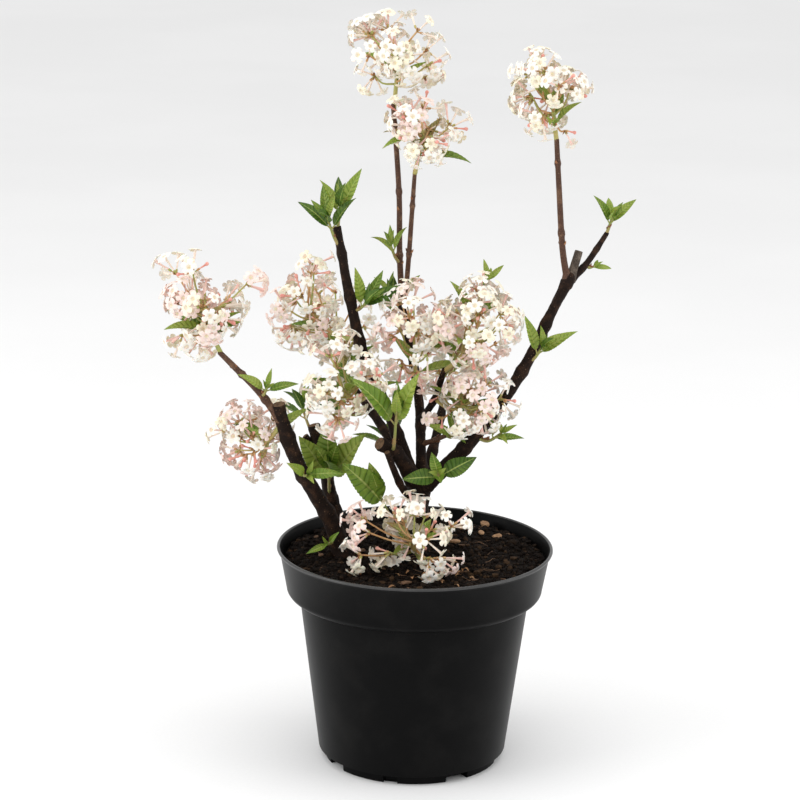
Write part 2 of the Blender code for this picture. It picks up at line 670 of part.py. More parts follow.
def grow_spray(mass, length, pairs, opening, turn):
    """Sets opposite pairs of leaves up a shoot, each pair crosswise to the one below, with one at the tip."""
    chance = random.Random(mass.stem.name)
    _, middle, end = mass.path
    shoot = (end - middle).normalized()
    light = Vector((0.0, -1.0 if end.y < MIDDLE_DEPTH else 1.0, 0.0))
    across = shoot.cross(Vector((0.0, 1.0, 0.15))).normalized()
    for pair in range(pairs):
        for side in (0, 1):
            root = mass.on_stem(0.60 + 0.32 * (pair + 1) / pairs + 0.06 * side)
            for attempt in range(TRIES):
                about = math.radians(turn + 90 * pair + 180 * side) + chance.uniform(-0.15, 0.15) * (1 + attempt)
                outward = Matrix.Rotation(about, 3, shoot) @ across
                lean = math.radians(opening + chance.uniform(-6, 10))
                heading = (shoot * math.cos(lean) + outward * math.sin(lean)).normalized()
                size = length * chance.uniform(0.85, 1.05) * (1.0 - 0.22 * pair)
                if mass.add(*leaf_mesh(root, heading, size, shoot * 0.5 + UP * 0.3 + light * 0.8), blade_of):
                    break
    if pairs > 1:
        tip = mass.on_stem(0.995)
        top_leaf = leaf_mesh(tip, nudged(shoot, 0.12, chance), length * 0.55, nudged(across, 0.4, chance))
        mass.add(*top_leaf, blade_of)
    mass.join()


def masses(standing):
    """All blossom masses and leaf sprays. Their stems come first, so that no twig grows through one."""
    stems = {}
    for name, limb, share, centre, *_ in BLOSSOMS:
        stems[name] = mass_stem(name, limb, share, Vector(centre), STEM_THICKNESS, "blossom")
    for name, limb, share, tip, *_ in SPRAYS:
        stems[name] = mass_stem(name, limb, share, Vector(tip), SHOOT_THICKNESS, "foliage")
    around = Surroundings(standing + [stem for stem, _ in stems.values()])
    for name, _, _, _, *leaves in SPRAYS:
        grow_spray(Mass(*stems[name], around), *leaves)
    for name, _, _, *space in BLOSSOMS:
        grow_blossom(Mass(*stems[name], around), *space)


clear_scene()
pot_and_wood = [pot(), compost(), *limbs()]
masses(pot_and_wood)
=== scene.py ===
"""The looks of a winter-flowering viburnum in bloom, in its black nursery pot.

Every piece is dressed in the order in which the real thing comes together: the pot, the compost, the woody
stems, the young shoots, the leaves and then the flowers.
"""

import json
import math
import random

import bmesh
import bpy
import numpy as np
from mathutils import Matrix, Vector, noise

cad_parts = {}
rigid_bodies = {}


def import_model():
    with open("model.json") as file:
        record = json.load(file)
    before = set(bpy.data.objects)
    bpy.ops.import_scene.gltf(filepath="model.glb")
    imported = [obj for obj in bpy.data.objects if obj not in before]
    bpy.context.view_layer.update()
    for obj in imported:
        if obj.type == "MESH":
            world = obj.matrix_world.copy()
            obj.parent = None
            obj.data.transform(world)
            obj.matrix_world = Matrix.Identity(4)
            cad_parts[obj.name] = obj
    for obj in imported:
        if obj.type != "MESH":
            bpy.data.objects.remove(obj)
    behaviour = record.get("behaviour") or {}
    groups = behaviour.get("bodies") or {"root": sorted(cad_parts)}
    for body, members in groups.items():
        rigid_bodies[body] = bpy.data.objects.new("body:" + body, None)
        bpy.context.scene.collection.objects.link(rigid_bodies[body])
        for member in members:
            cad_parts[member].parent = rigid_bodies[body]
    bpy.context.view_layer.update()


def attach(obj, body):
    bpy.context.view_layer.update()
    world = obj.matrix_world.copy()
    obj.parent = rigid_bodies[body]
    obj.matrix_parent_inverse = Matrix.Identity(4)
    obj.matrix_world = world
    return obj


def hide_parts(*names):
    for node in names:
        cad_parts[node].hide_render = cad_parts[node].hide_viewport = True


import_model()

# The camera stands two metres in front of the pot and looks down on it at 15 degrees. Its place was fitted to
# the ellipses of the pot's lip and foot. It is rolled by less than a degree.
CAMERA_DISTANCE = 2.052
CAMERA_PITCH = math.radians(14.94)
CAMERA_ROLL = math.radians(0.86)
FOCAL_PIXELS = 2981.0
IMAGE_PIXELS = 800
SENSOR_WIDTH = 36.0
LIP_CENTRE = Vector((0.0, 0.0, 0.1518))
LIP_CENTRE_PIXEL = (414.9, 545.3)
ahead = Vector((0.0, math.cos(CAMERA_PITCH), -math.sin(CAMERA_PITCH)))
level_up = Vector((0.0, math.sin(CAMERA_PITCH), math.cos(CAMERA_PITCH)))
right = math.cos(CAMERA_ROLL) * Vector((1, 0, 0)) + math.sin(CAMERA_ROLL) * level_up
up = math.cos(CAMERA_ROLL) * level_up - math.sin(CAMERA_ROLL) * Vector((1, 0, 0))
aside_pixels, down_pixels = (pixel - IMAGE_PIXELS / 2 for pixel in LIP_CENTRE_PIXEL)
camera_place = LIP_CENTRE - CAMERA_DISTANCE * (
    ahead + right * aside_pixels / FOCAL_PIXELS - up * down_pixels / FOCAL_PIXELS
)
camera = bpy.data.objects.new("camera", bpy.data.cameras.new("camera"))
camera.data.sensor_width = SENSOR_WIDTH
camera.data.lens = FOCAL_PIXELS / IMAGE_PIXELS * SENSOR_WIDTH
camera.matrix_world = Matrix.Translation(camera_place) @ Matrix((right, up, -ahead)).transposed().to_4x4()
bpy.context.scene.collection.objects.link(camera)
bpy.context.scene.camera = camera

# The pot is a 3-litre nursery pot, injection-moulded in one piece from black polypropylene: a notched foot,
# a tapering wall, a wider band and a thin rolled lip. It stands free on its foot.
POT_STEPS = 144
POT_WALL = 0.0014
FOOT_RADIUS, FOOT_HEIGHT, FOOT_EDGE = 0.0605, 0.0065, 0.0010
FLOOR_HEIGHT = 0.0095
WALL_FOOT_RADIUS = 0.0650
WALL_TOP_RADIUS, WALL_TOP_HEIGHT = 0.0791, 0.1165
BAND_RADIUS, BAND_HEIGHT = 0.0882, 0.1230
LIP_RADIUS, LIP_ROLL, LIP_NECK, POT_HEIGHT = 0.0950, 0.0022, 0.0040, 0.1518
NOTCHES = 8
NOTCH_SIZES = ((0.017, 0.0085), (0.010, 0.0035))
NOTCH_HEIGHT, NOTCH_CUTTER = 0.0048, 0.012
NOTCH_TURN = math.radians(31)
PAINT_EDGE, FINE_RELIEF = 0.14, 0.35
LIP_CREASE = math.radians(38)


def mottle_group():
    """Colour that wanders between two paints, coarsely and finely, with the height that goes with it."""
    group = bpy.data.node_groups.new("mottle", "ShaderNodeTree")
    for name, kind in (
        ("Base", "NodeSocketColor"), ("Fleck", "NodeSocketColor"), ("Coarse", "NodeSocketFloat"),
        ("Fine", "NodeSocketFloat"), ("Share", "NodeSocketFloat"), ("Contrast", "NodeSocketFloat"),
    ):
        group.interface.new_socket(name, in_out="INPUT", socket_type=kind)
    group.interface.new_socket("Colour", in_out="OUTPUT", socket_type="NodeSocketColor")
    group.interface.new_socket("Height", in_out="OUTPUT", socket_type="NodeSocketFloat")
    nodes, links = group.nodes, group.links
    given, told = nodes.new("NodeGroupInput"), nodes.new("NodeGroupOutput")
    place = nodes.new("ShaderNodeTexCoord")
    coarse, fine = nodes.new("ShaderNodeTexNoise"), nodes.new("ShaderNodeTexNoise")
    coarse.inputs["Detail"].default_value = 5.0
    fine.inputs["Detail"].default_value = 3.0
    for texture, scale in ((coarse, "Coarse"), (fine, "Fine")):
        links.new(place.outputs["Object"], texture.inputs["Vector"])
        links.new(given.outputs[scale], texture.inputs["Scale"])
    edge = nodes.new("ShaderNodeMath")
    edge.operation = "SUBTRACT"
    edge.inputs[0].default_value = 1.0
    links.new(given.outputs["Share"], edge.inputs[1])
    spread = nodes.new("ShaderNodeMapRange")
    spread.interpolation_type = "SMOOTHSTEP"
    low, high = nodes.new("ShaderNodeMath"), nodes.new("ShaderNodeMath")
    low.operation, high.operation = "SUBTRACT", "ADD"
    for shift in (low, high):
        links.new(edge.outputs[0], shift.inputs[0])
        shift.inputs[1].default_value = PAINT_EDGE
    links.new(coarse.outputs["Fac"], spread.inputs["Value"])
    links.new(low.outputs[0], spread.inputs["From Min"])
    links.new(high.outputs[0], spread.inputs["From Max"])
    paint = nodes.new("ShaderNodeMix")
    paint.data_type = "RGBA"
    links.new(spread.outputs["Result"], paint.inputs["Factor"])
    links.new(given.outputs["Base"], paint.inputs["A"])
    links.new(given.outputs["Fleck"], paint.inputs["B"])
    tone = nodes.new("ShaderNodeMapRange")
    tone.inputs["From Min"].default_value = 0.3
    tone.inputs["From Max"].default_value = 0.7
    links.new(fine.outputs["Fac"], tone.inputs["Value"])
    darkest, lightest = nodes.new("ShaderNodeMath"), nodes.new("ShaderNodeMath")
    darkest.operation, lightest.operation = "SUBTRACT", "ADD"
    for limit in (darkest, lightest):
        limit.inputs[0].default_value = 1.0
        links.new(given.outputs["Contrast"], limit.inputs[1])
    links.new(darkest.outputs[0], tone.inputs["To Min"])
    links.new(lightest.outputs[0], tone.inputs["To Max"])
    shade = nodes.new("ShaderNodeVectorMath")
    shade.operation = "SCALE"
    links.new(paint.outputs["Result"], shade.inputs[0])
    links.new(tone.outputs["Result"], shade.inputs["Scale"])
    links.new(shade.outputs["Vector"], told.inputs["Colour"])
    relief = nodes.new("ShaderNodeMath")
    relief.operation = "MULTIPLY_ADD"
    relief.inputs[1].default_value = FINE_RELIEF
    links.new(fine.outputs["Fac"], relief.inputs[0])
    links.new(coarse.outputs["Fac"], relief.inputs[2])
    links.new(relief.outputs[0], told.inputs["Height"])
    return group


MOTTLE = mottle_group()


def mottled(name, base, fleck, coarse, fine, share, contrast, roughness, relief, specular=0.5):
    """A material of two paints dealt out by the mottle, with its relief in metres."""
    made = bpy.data.materials.new(name)
    made.use_nodes = True
    nodes, links = made.node_tree.nodes, made.node_tree.links
    shader = nodes["Principled BSDF"]
    shader.inputs["Roughness"].default_value = roughness
    shader.inputs["Specular IOR Level"].default_value = specular
    mottle = nodes.new("ShaderNodeGroup")
    mottle.node_tree = MOTTLE
    mottle.name = "mottle"
    mottle.inputs["Base"].default_value = (*base, 1.0)
    mottle.inputs["Fleck"].default_value = (*fleck, 1.0)
    for socket, value in (("Coarse", coarse), ("Fine", fine), ("Share", share), ("Contrast", contrast)):
        mottle.inputs[socket].default_value = value
    links.new(mottle.outputs["Colour"], shader.inputs["Base Color"])
    bump = nodes.new("ShaderNodeBump")
    bump.inputs["Distance"].default_value = relief
    links.new(mottle.outputs["Height"], bump.inputs["Height"])
    links.new(bump.outputs["Normal"], shader.inputs["Normal"])
    return made


def on_the_plant(piece, slot, *nodes):
    """Fixes a piece to the part in place of these CAD nodes; the slot is not used."""
    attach(piece, "root")
    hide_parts(*nodes)


def turned_piece(name, profile, steps):
    """A solid of revolution round Z, from a profile that starts and ends on the axis."""
    work = bmesh.new()
    corners = [work.verts.new((radius, 0.0, height)) for radius, height in profile]
    edges = [work.edges.new(pair) for pair in zip(corners, corners[1:])]
    bmesh.ops.spin(
        work, geom=corners + edges, cent=(0, 0, 0), axis=(0, 0, 1), angle=math.tau, steps=steps,
        use_duplicate=False,
    )
    bmesh.ops.remove_doubles(work, verts=work.verts, dist=0.00001)
    bmesh.ops.recalc_face_normals(work, faces=work.faces)
    mesh = bpy.data.meshes.new(name)
    work.to_mesh(mesh)
    work.free()
    obj = bpy.data.objects.new(name, mesh)
    bpy.context.scene.collection.objects.link(obj)
    return obj


def arc(middle, radii, start, stop, steps):
    """Points on an ellipse's arc in the pot's profile, angles in degrees."""
    turns = [math.radians(start + (stop - start) * step / steps) for step in range(steps + 1)]
    return [(middle[0] + radii[0] * math.cos(turn),
        middle[1] + radii[1] * math.sin(turn)) for turn in turns]


band_corner = arc(
    (WALL_TOP_RADIUS, BAND_HEIGHT), (BAND_RADIUS - WALL_TOP_RADIUS, BAND_HEIGHT - WALL_TOP_HEIGHT), -90, 0,
        8
)
roll = arc((LIP_RADIUS - LIP_ROLL / 2, POT_HEIGHT - LIP_ROLL / 2), (LIP_ROLL / 2, LIP_ROLL / 2), -60, 160,
    9)
outer_wall = [
    (WALL_FOOT_RADIUS, FOOT_HEIGHT + FOOT_EDGE),
    *band_corner,
    (LIP_RADIUS - LIP_ROLL, POT_HEIGHT - LIP_NECK),
]
inner_wall = [(radius - POT_WALL, height) for radius, height in reversed(outer_wall[1:])]
pot = turned_piece(
    "nursery_pot",
    [
        (0.0, 0.0),
        (FOOT_RADIUS - 0.0006, 0.0),
        (FOOT_RADIUS, 0.0006),
        (FOOT_RADIUS + FOOT_EDGE / 2, FOOT_HEIGHT),
        (WALL_FOOT_RADIUS - FOOT_EDGE, FOOT_HEIGHT),
        (WALL_FOOT_RADIUS - FOOT_EDGE * 0.3, FOOT_HEIGHT + FOOT_EDGE * 0.3),
        *outer_wall,
        *roll,
        *inner_wall,
        (WALL_FOOT_RADIUS - POT_WALL, FLOOR_HEIGHT),
        (0.0, FLOOR_HEIGHT),
    ],
    POT_STEPS,
)
cutters = bpy.data.collections.new("notch_cutters")
for notch in range(NOTCHES):
    width, depth = NOTCH_SIZES[notch % 2]
    length = depth + NOTCH_CUTTER
    turn = NOTCH_TURN + notch * math.tau / NOTCHES - math.pi / 2
    bpy.ops.mesh.primitive_cube_add(size=1.0)
    cutter = bpy.context.object
    cutter.data.transform(Matrix.Diagonal((length, width, NOTCH_CUTTER, 1.0)))
    cutter.data.transform(
        Matrix.Rotation(turn, 4, "Z")
        @ Matrix.Translation((FOOT_RADIUS - depth + length / 2, 0.0, NOTCH_HEIGHT - NOTCH_CUTTER / 2))
    )
    for holder in list(cutter.users_collection):
        holder.objects.unlink(cutter)
    cutters.objects.link(cutter)
notching = pot.modifiers.new("notches", "BOOLEAN")
notching.operation = "DIFFERENCE"
notching.solver = "EXACT"
notching.operand_type = "COLLECTION"
notching.collection = cutters
pot.data = bpy.data.meshes.new_from_object(pot.evaluated_get(bpy.context.evaluated_depsgraph_get()))
pot.modifiers.clear()
for cutter in list(cutters.objects):
    bpy.data.objects.remove(cutter, do_unlink=True)
bpy.data.collections.remove(cutters)
pot.data.shade_smooth()
pot.data.set_sharp_from_angle(angle=LIP_CREASE)
pot.data.materials.clear()
pot.data.materials.append(mottled(
    "black_polypropylene", (0.0022, 0.0022, 0.0023), (0.0050, 0.0048, 0.0047), 38.0, 900.0, 0.42, 0.25,
        0.38,
    0.00004, 0.065,
))
# The second paint, a lighter grey, is a painted highlight along the top of the rolled lip.
pot.data.materials.append(mottled(
    "lip_painted_highlight", (0.020, 0.020, 0.020), (0.034, 0.033, 0.032), 60.0, 700.0, 0.45, 0.20, 0.30, 0.00004, 0.50
))
# Faces on the top of the rolled lip take the lighter paint, a painted highlight.
for face in pot.data.polygons:
    face.material_index = int(face.center.z > POT_HEIGHT - LIP_ROLL * 0.75)
on_the_plant(pot, "black_plastic", "pot")

# The compost is damp dark peat with crumbs, root fibres and chips of composted bark. It was firmed by hand to
# just under the band and has sunk a little at the pot's wall. Dry petals and bracts lie on it at the front.
COMPOST_TOP = 0.1450
COMPOST_EDGE_DROP, COMPOST_SHOULDER = 0.0030, 0.014
COMPOST_RADIUS = 0.0900
SIDE_FOOT, SIDE_SLOPE = 0.1300, 0.0032
SURFACE_RINGS, SURFACE_STEPS = 58, 150
CRUMBS, FIBRES, FLAKES = 5600, 46, 30
CRUMB_SIZES = (0.0005, 0.0026)
CRUMB_SHARES = (0,) * 10 + (1, 1, 1, 2)
FIBRE_LENGTHS, FIBRE_RADIUS = (0.006, 0.019), 0.00028
PALE_CHIPS = ((0.050, 0.066), (0.047, 0.046), (0.034, 0.058), (0.058, 0.040), (0.028, 0.024))
LOOSE_CHIPS = 18
CHIP_LENGTHS, CHIP_CORNERS = (0.003, 0.0085), 7


def compost_height(x, y):
    """Height of the compost's surface, lumpy and falling towards the pot's wall."""
    inward = COMPOST_RADIUS - math.hypot(x, y)
    fall = COMPOST_EDGE_DROP * max(0.0, 1.0 - inward / COMPOST_SHOULDER) ** 2
    lumps = 0.0018 * noise.noise((x * 60, y * 60, 0.3)) + 0.0012 * noise.noise((x * 190, y * 190, 1.7))
    return COMPOST_TOP - fall + lumps + 0.0004 * noise.noise((x * 620, y * 620, 4.1))


class Growth:
    """Points, four-cornered faces and paints of many like things, gathered into one piece."""

    def __init__(self):
        self.points, self.faces, self.paints, self.count = [], [], [], 0

    def add(self, points, faces, paint):
        points = np.asarray(points, dtype=float)
        faces = np.asarray(faces, dtype=int)
        self.points.append(points)
        self.faces.append(faces + self.count)
        self.paints.append(np.full(len(faces), paint) if np.isscalar(paint) else np.asarray(paint))
        self.count += len(points)

    def piece(self, name, materials, smooth=True):
        mesh = bpy.data.meshes.new(name)
        faces = [face if face[2] != face[3] else face[:3] for face in np.concatenate(self.faces).tolist()]
        mesh.from_pydata(np.concatenate(self.points).tolist(), [], faces)
        for material in materials:
            mesh.materials.append(material)
        mesh.polygons.foreach_set("material_index", np.concatenate(self.paints).astype(np.int32))
        if smooth:
            mesh.shade_smooth()
        obj = bpy.data.objects.new(name, mesh)
        bpy.context.scene.collection.objects.link(obj)
        return obj


def grid_faces(rings, sides, closed=True):
    """Four-cornered faces between rings of points."""
    span = sides if closed else sides - 1
    return [
        (ring * sides + side, ring * sides + (side + 1) % sides,
         (ring + 1) * sides + (side + 1) % sides, (ring + 1) * sides + side)
        for ring in range(rings - 1)
        for side in range(span)
    ]


chance = random.Random("compost")
surface = Growth()
rows = []
for ring in range(SURFACE_RINGS):
    radius = max(COMPOST_RADIUS * (ring / (SURFACE_RINGS - 1)) ** 0.9, 0.0004)
    for step in range(SURFACE_STEPS):
        turn = math.tau * step / SURFACE_STEPS
        x, y = radius * math.cos(turn), radius * math.sin(turn)
        rows.append((x, y, compost_height(x, y)))
for radius, height in ((COMPOST_RADIUS - SIDE_SLOPE, SIDE_FOOT), (0.0004, SIDE_FOOT)):
    for step in range(SURFACE_STEPS):
        turn = math.tau * step / SURFACE_STEPS
        rows.append((radius * math.cos(turn), radius * math.sin(turn), height))
surface.add(rows, grid_faces(SURFACE_RINGS + 2, SURFACE_STEPS), 0)
peat = mottled(
    "damp_peat", (0.0046, 0.0026, 0.0016), (0.012, 0.0066, 0.0036), 260.0, 1500.0, 0.4, 0.5, 0.92, 0.0009,
        0.12
)
compost = surface.piece("compost_surface", [peat])
on_the_plant(compost, "compost", "compost")

work = bmesh.new()
bmesh.ops.create_icosphere(work, subdivisions=1, radius=1.0)
crumb_points = np.array([vertex.co[:] for vertex in work.verts])
crumb_faces = [[v.index for v in face.verts] + [face.verts[2].index] for face in work.faces]
work.free()
crumbs = Growth()
for _ in range(CRUMBS):
    radius = (COMPOST_RADIUS - 0.0015) * math.sqrt(chance.random())
    turn = chance.uniform(0, math.tau)
    x, y = radius * math.cos(turn), radius * math.sin(turn)
    size = CRUMB_SIZES[0] + (CRUMB_SIZES[1] - CRUMB_SIZES[0]) * chance.random() ** 3
    stretch = np.array([chance.uniform(0.7, 1.4), chance.uniform(0.7, 1.3), chance.uniform(0.5, 1.0)])
    jolt = np.array([[chance.uniform(0.75, 1.2)] for _ in crumb_points])
    spin = np.array(Matrix.Rotation(chance.uniform(0, math.tau), 3, "Z"))
    shape = (crumb_points * jolt * stretch * size) @ spin
    paint = chance.choice(CRUMB_SHARES)
    crumbs.add(shape + (x, y, compost_height(x, y) + size * 0.3), crumb_faces, paint)
crumb_paints = [
    mottled(name, base, fleck, 500.0, 2500.0, 0.4, 0.4, 0.9, 0.0003, 0.12)
    for name, base, fleck in (
        ("peat_crumb_dark", (0.0048, 0.0028, 0.0018), (0.012, 0.0068, 0.0042)),
        ("peat_crumb_brown", (0.0125, 0.0070, 0.0038), (0.026, 0.0145, 0.0078)),
        ("peat_crumb_rust", (0.036, 0.020, 0.010), (0.060, 0.034, 0.018)),
    )
]
crumb_piece = crumbs.piece("compost_crumbs", crumb_paints, smooth=False)
on_the_plant(crumb_piece, "compost", "compost")


def carried_frames(path):
    """Two cross directions at each point of a path, carried along it without twist."""
    tangents = []
    for index in range(len(path)):
        tangents.append((path[min(index + 1, len(path) - 1)] - path[max(index - 1, 0)]).normalized())
    across = tangents[0].orthogonal().normalized()
    frames = []
    for index, tangent in enumerate(tangents):
        if index:
            across = tangents[index - 1].rotation_difference(tangent) @ across
        across = (across - tangent * across.dot(tangent)).normalized()
        frames.append((across, tangent.cross(across), tangent))
    return frames


def round_tube(path, radii, sides):
    """Points and faces of a round tube along a path, drawn to a point at both ends."""
    frames = carried_frames(path)
    path = [path[0], *path, path[-1] + frames[-1][2] * radii[-1] * 0.5]
    radii = [radii[0] * 0.05, *radii, radii[-1] * 0.05]
    frames = [frames[0], *frames, frames[-1]]
    turns = [math.tau * side / sides for side in range(sides)]
    points = [
        centre + radius * (math.cos(turn) * across + math.sin(turn) * aside)
        for centre, radius, (across, aside, _) in zip(path, radii, frames)
        for turn in turns
    ]
    return [tuple(point) for point in points], grid_faces(len(path), sides)


litter = Growth()
for _ in range(FIBRES):
    radius, turn = (COMPOST_RADIUS - 0.012) * math.sqrt(chance.random()), chance.uniform(0, math.tau)
    x, y, way = radius * math.cos(turn), radius * math.sin(turn), chance.uniform(0, math.tau)
    length = chance.uniform(*FIBRE_LENGTHS)
    path = []
    for step in range(5):
        way += chance.uniform(-0.5, 0.5)
        path.append(Vector((x, y, compost_height(x, y) + 0.0008 + chance.uniform(0, 0.0009))))
        x, y = x + math.cos(way) * length / 4, y + math.sin(way) * length / 4
        if math.hypot(x, y) > COMPOST_RADIUS - 0.002:
            break
    if len(path) > 2:
        fibre = round_tube(path, [FIBRE_RADIUS * chance.uniform(0.6, 1.5)] * len(path), 4)
        litter.add(*fibre, chance.choice((0, 1)))
chip_spots = [(x, y, chance.uniform(0.0080, 0.0115), 2) for x, y in PALE_CHIPS]
for _ in range(LOOSE_CHIPS):
    radius, turn = (COMPOST_RADIUS - 0.008) * math.sqrt(chance.random()), chance.uniform(0, math.tau)
    x, y = radius * math.cos(turn), radius * math.sin(turn)
    chip_spots.append((x, y, chance.uniform(*CHIP_LENGTHS), chance.choice((1, 1, 2))))
for x, y, length, paint in chip_spots:
    outline = []
    for corner in range(CHIP_CORNERS):
        turn = math.tau * corner / CHIP_CORNERS
        reach = length / 2 * chance.uniform(0.75, 1.1)
        outline.append((reach * math.cos(turn), reach * 0.55 * math.sin(turn)))
    thick = length * chance.uniform(0.10, 0.20)
    rows = []
    for share, level in ((0.05, -0.5), (0.92, -0.5), (1.0, 0.0), (0.9, 0.5), (0.05, 0.55)):
        rows += [(share * a, share * b, level * thick) for a, b in outline]
    tilt = Matrix.Rotation(chance.uniform(0, math.tau), 3, "Z") @ Matrix.Rotation(chance.uniform(-0.5,
        0.5), 3, "X")
    placed = np.array(rows) @ np.array(tilt).T + (x, y, compost_height(x, y) + 0.0012 + thick)
    litter.add(placed, grid_faces(5, CHIP_CORNERS), paint)
for _ in range(FLAKES):
    x, y = chance.gauss(0.012, 0.022), chance.gauss(-0.050, 0.012)
    if math.hypot(x, y) > COMPOST_RADIUS - 0.006:
        continue
    long, wide = chance.uniform(0.003, 0.007), chance.uniform(0.0012, 0.0024)
    curl = chance.uniform(0.0006, 0.0018)
    rows = []
    for step in range(5):
        along = step / 4
        side = wide * math.sin(math.pi * (0.08 + 0.84 * along)) / 2 + 0.0001
        lift = curl * math.sin(math.pi * along)
        rows += [(long * (along - 0.5), -side, lift + curl * 0.4), (long * (along - 0.5), 0.0, lift),
                 (long * (along - 0.5), side, lift + curl * 0.4)]
    tilt = Matrix.Rotation(chance.uniform(0, math.tau), 3, "Z") @ Matrix.Rotation(chance.uniform(-0.5,
        0.5), 3, "X")
    placed = np.array(rows) @ np.array(tilt).T + (x, y, compost_height(x, y) + 0.0012)
    litter.add(placed, grid_faces(5, 3, closed=False), chance.choice((3, 3, 2)))
litter_paints = [
    mottled("root_fibre", (0.10, 0.055, 0.030), (0.20, 0.12, 0.07), 300, 1800, 0.4, 0.3, 0.85, 0.0001, 0.3),
    mottled("bark_chip_brown", (0.085, 0.045, 0.024), (0.16, 0.09, 0.05), 260, 1800, 0.5, 0.4, 0.85,
        0.0004, 0.3),
    mottled("bark_chip_pale", (0.36, 0.21, 0.11), (0.20, 0.105, 0.05), 240, 1600, 0.45, 0.35, 0.8, 0.0004,
        0.3),
    mottled("dry_bract", (0.30, 0.16, 0.075), (0.17, 0.08, 0.035), 300, 1500, 0.4, 0.3, 0.8, 0.0002, 0.3),
]
litter_piece = litter.piece("bark_chips_and_fibres", litter_paints)
litter_piece.data.set_sharp_from_angle(angle=math.radians(30))
on_the_plant(litter_piece, "compost", "compost")

# The old wood stands in the compost on flared feet. Its dark-brown bark is rough, with pale lenticels, fine
# lengthwise cracks and rings where side shoots once grew. The pruned ends are snipped flat and weathered.
LIMB_SIDES = 22
RING_SPACING = 0.0016
ROOT_FLARE, FLARE_HEIGHT = 1.45, 0.014
YOUNG_KNUCKLE, OLD_KNUCKLE = (0.34, 0.0016), (0.20, 0.0032)
PRUNED_CLOSING = ((0.90, 0.10), (0.55, 0.12), (0.25, 0.05), (0.02, 0.10))
ROUND_CLOSING = ((0.80, 0.4), (0.45, 0.7), (0.02, 0.8))
STEM_FOOT = COMPOST_TOP - 0.004
# Each limb: the points on its axis from foot to tip, and its radii there.
LIMBS = (
    ("trunk", ((0.000, 0.012, STEM_FOOT), (0.001, 0.010, 0.166), (0.003, 0.010, 0.197)), (0.0082, 0.0070,
        0.0082)),
    ("left_stem", ((-0.048, -0.001, STEM_FOOT), (-0.059, -0.004, 0.172), (-0.079, -0.013, 0.210),
                   (-0.091, -0.022, 0.245), (-0.093, -0.024, 0.257)), (0.0062, 0.0056, 0.0050, 0.0048,
                       0.0047)),
    ("rear_left_stem", ((-0.046, 0.030, STEM_FOOT), (-0.058, 0.030, 0.172), (-0.063, 0.030, 0.198),
                        (-0.071, 0.030, 0.228)), (0.0060, 0.0050, 0.0047, 0.0045)),
    ("right_bough", ((0.006, 0.008, 0.193), (0.027, 0.002, 0.215), (0.052, -0.003, 0.248), (0.072, -0.005,
        0.281),
                     (0.090, -0.003, 0.320), (0.101, -0.002, 0.343)),
     (0.0056, 0.0049, 0.0043, 0.0040, 0.0035, 0.0040)),
    ("upper_left_bough", ((-0.001, 0.008, 0.194), (-0.016, 0.007, 0.236), (-0.036, 0.005, 0.283),
                          (-0.046, 0.005, 0.322), (-0.056, 0.007, 0.373)), (0.0048, 0.0042, 0.0038, 0.0036,
                              0.0028)),
    ("centre_bough", ((0.004, 0.012, 0.196), (0.003, 0.017, 0.218), (0.001, 0.024, 0.250), (-0.011, 0.030,
        0.316)),
     (0.0044, 0.0036, 0.0033, 0.0028)),
    ("back_left_bough", ((-0.001, 0.014, 0.190), (-0.022, 0.040, 0.222), (-0.048, 0.063, 0.252)),
     (0.0042, 0.0033, 0.0024)),
    ("back_right_bough", ((0.005, 0.013, 0.190), (0.014, 0.038, 0.220), (0.021, 0.062, 0.250)),
     (0.0042, 0.0032, 0.0024)),
    ("pruned_branch", ((-0.002, 0.006, 0.198), (-0.014, -0.005, 0.219), (-0.025, -0.014, 0.228)),
     (0.0052, 0.0049, 0.0047)),
    ("thin_front_branch", ((-0.002, 0.006, 0.184), (-0.010, -0.006, 0.196), (-0.020, -0.018, 0.223)),
     (0.0030, 0.0025, 0.0021)),
    ("rear_left_stub", ((-0.064, 0.030, 0.204), (-0.077, 0.028, 0.221)), (0.0026, 0.0022)),
    ("left_shoot", ((-0.092, -0.023, 0.246), (-0.106, -0.026, 0.266), (-0.122, -0.031, 0.284),
                    (-0.132, -0.034, 0.295)), (0.0027, 0.0024, 0.0021, 0.0018)),
    ("centre_twig", ((0.003, 0.018, 0.219), (0.012, 0.011, 0.224), (0.021, 0.007, 0.229)), (0.0020, 0.0017,
        0.0015)),
    ("blossom_branch", ((0.002, 0.021, 0.235), (0.011, 0.009, 0.252), (0.018, 0.000, 0.277)),
     (0.0027, 0.0023, 0.0018)),
    ("centre_left_shoot", ((-0.011, 0.030, 0.311), (-0.0135, 0.031, 0.350), (-0.0145, 0.032, 0.392),
                           (-0.0192, 0.032, 0.452)), (0.0023, 0.0020, 0.0019, 0.0017)),
    ("centre_right_shoot", ((-0.010, 0.030, 0.312), (-0.0075, 0.024, 0.345), (-0.0055, 0.018, 0.383),
                            (-0.004, 0.014, 0.411)), (0.0019, 0.0017, 0.0016, 0.0014)),
    ("right_top_shoot", ((0.100, -0.002, 0.338), (0.0955, -0.004, 0.362), (0.092, -0.006, 0.402),
                         (0.0892, -0.008, 0.437)), (0.0025, 0.0021, 0.0019, 0.0017)),
    ("right_grey_stub", ((0.101, -0.001, 0.340), (0.107, 0.005, 0.359)), (0.0031, 0.0028)),
    ("right_spur", ((0.101, 0.000, 0.339), (0.113, 0.007, 0.351), (0.126, 0.014, 0.370)), (0.0025, 0.0021,
        0.0016)),
)
PRUNED = ("left_stem", "rear_left_stem", "upper_left_bough", "pruned_branch", "thin_front_branch",
    "rear_left_stub",
          "right_grey_stub")
YOUNG = ("left_shoot", "centre_twig", "centre_left_shoot", "centre_right_shoot", "right_top_shoot")
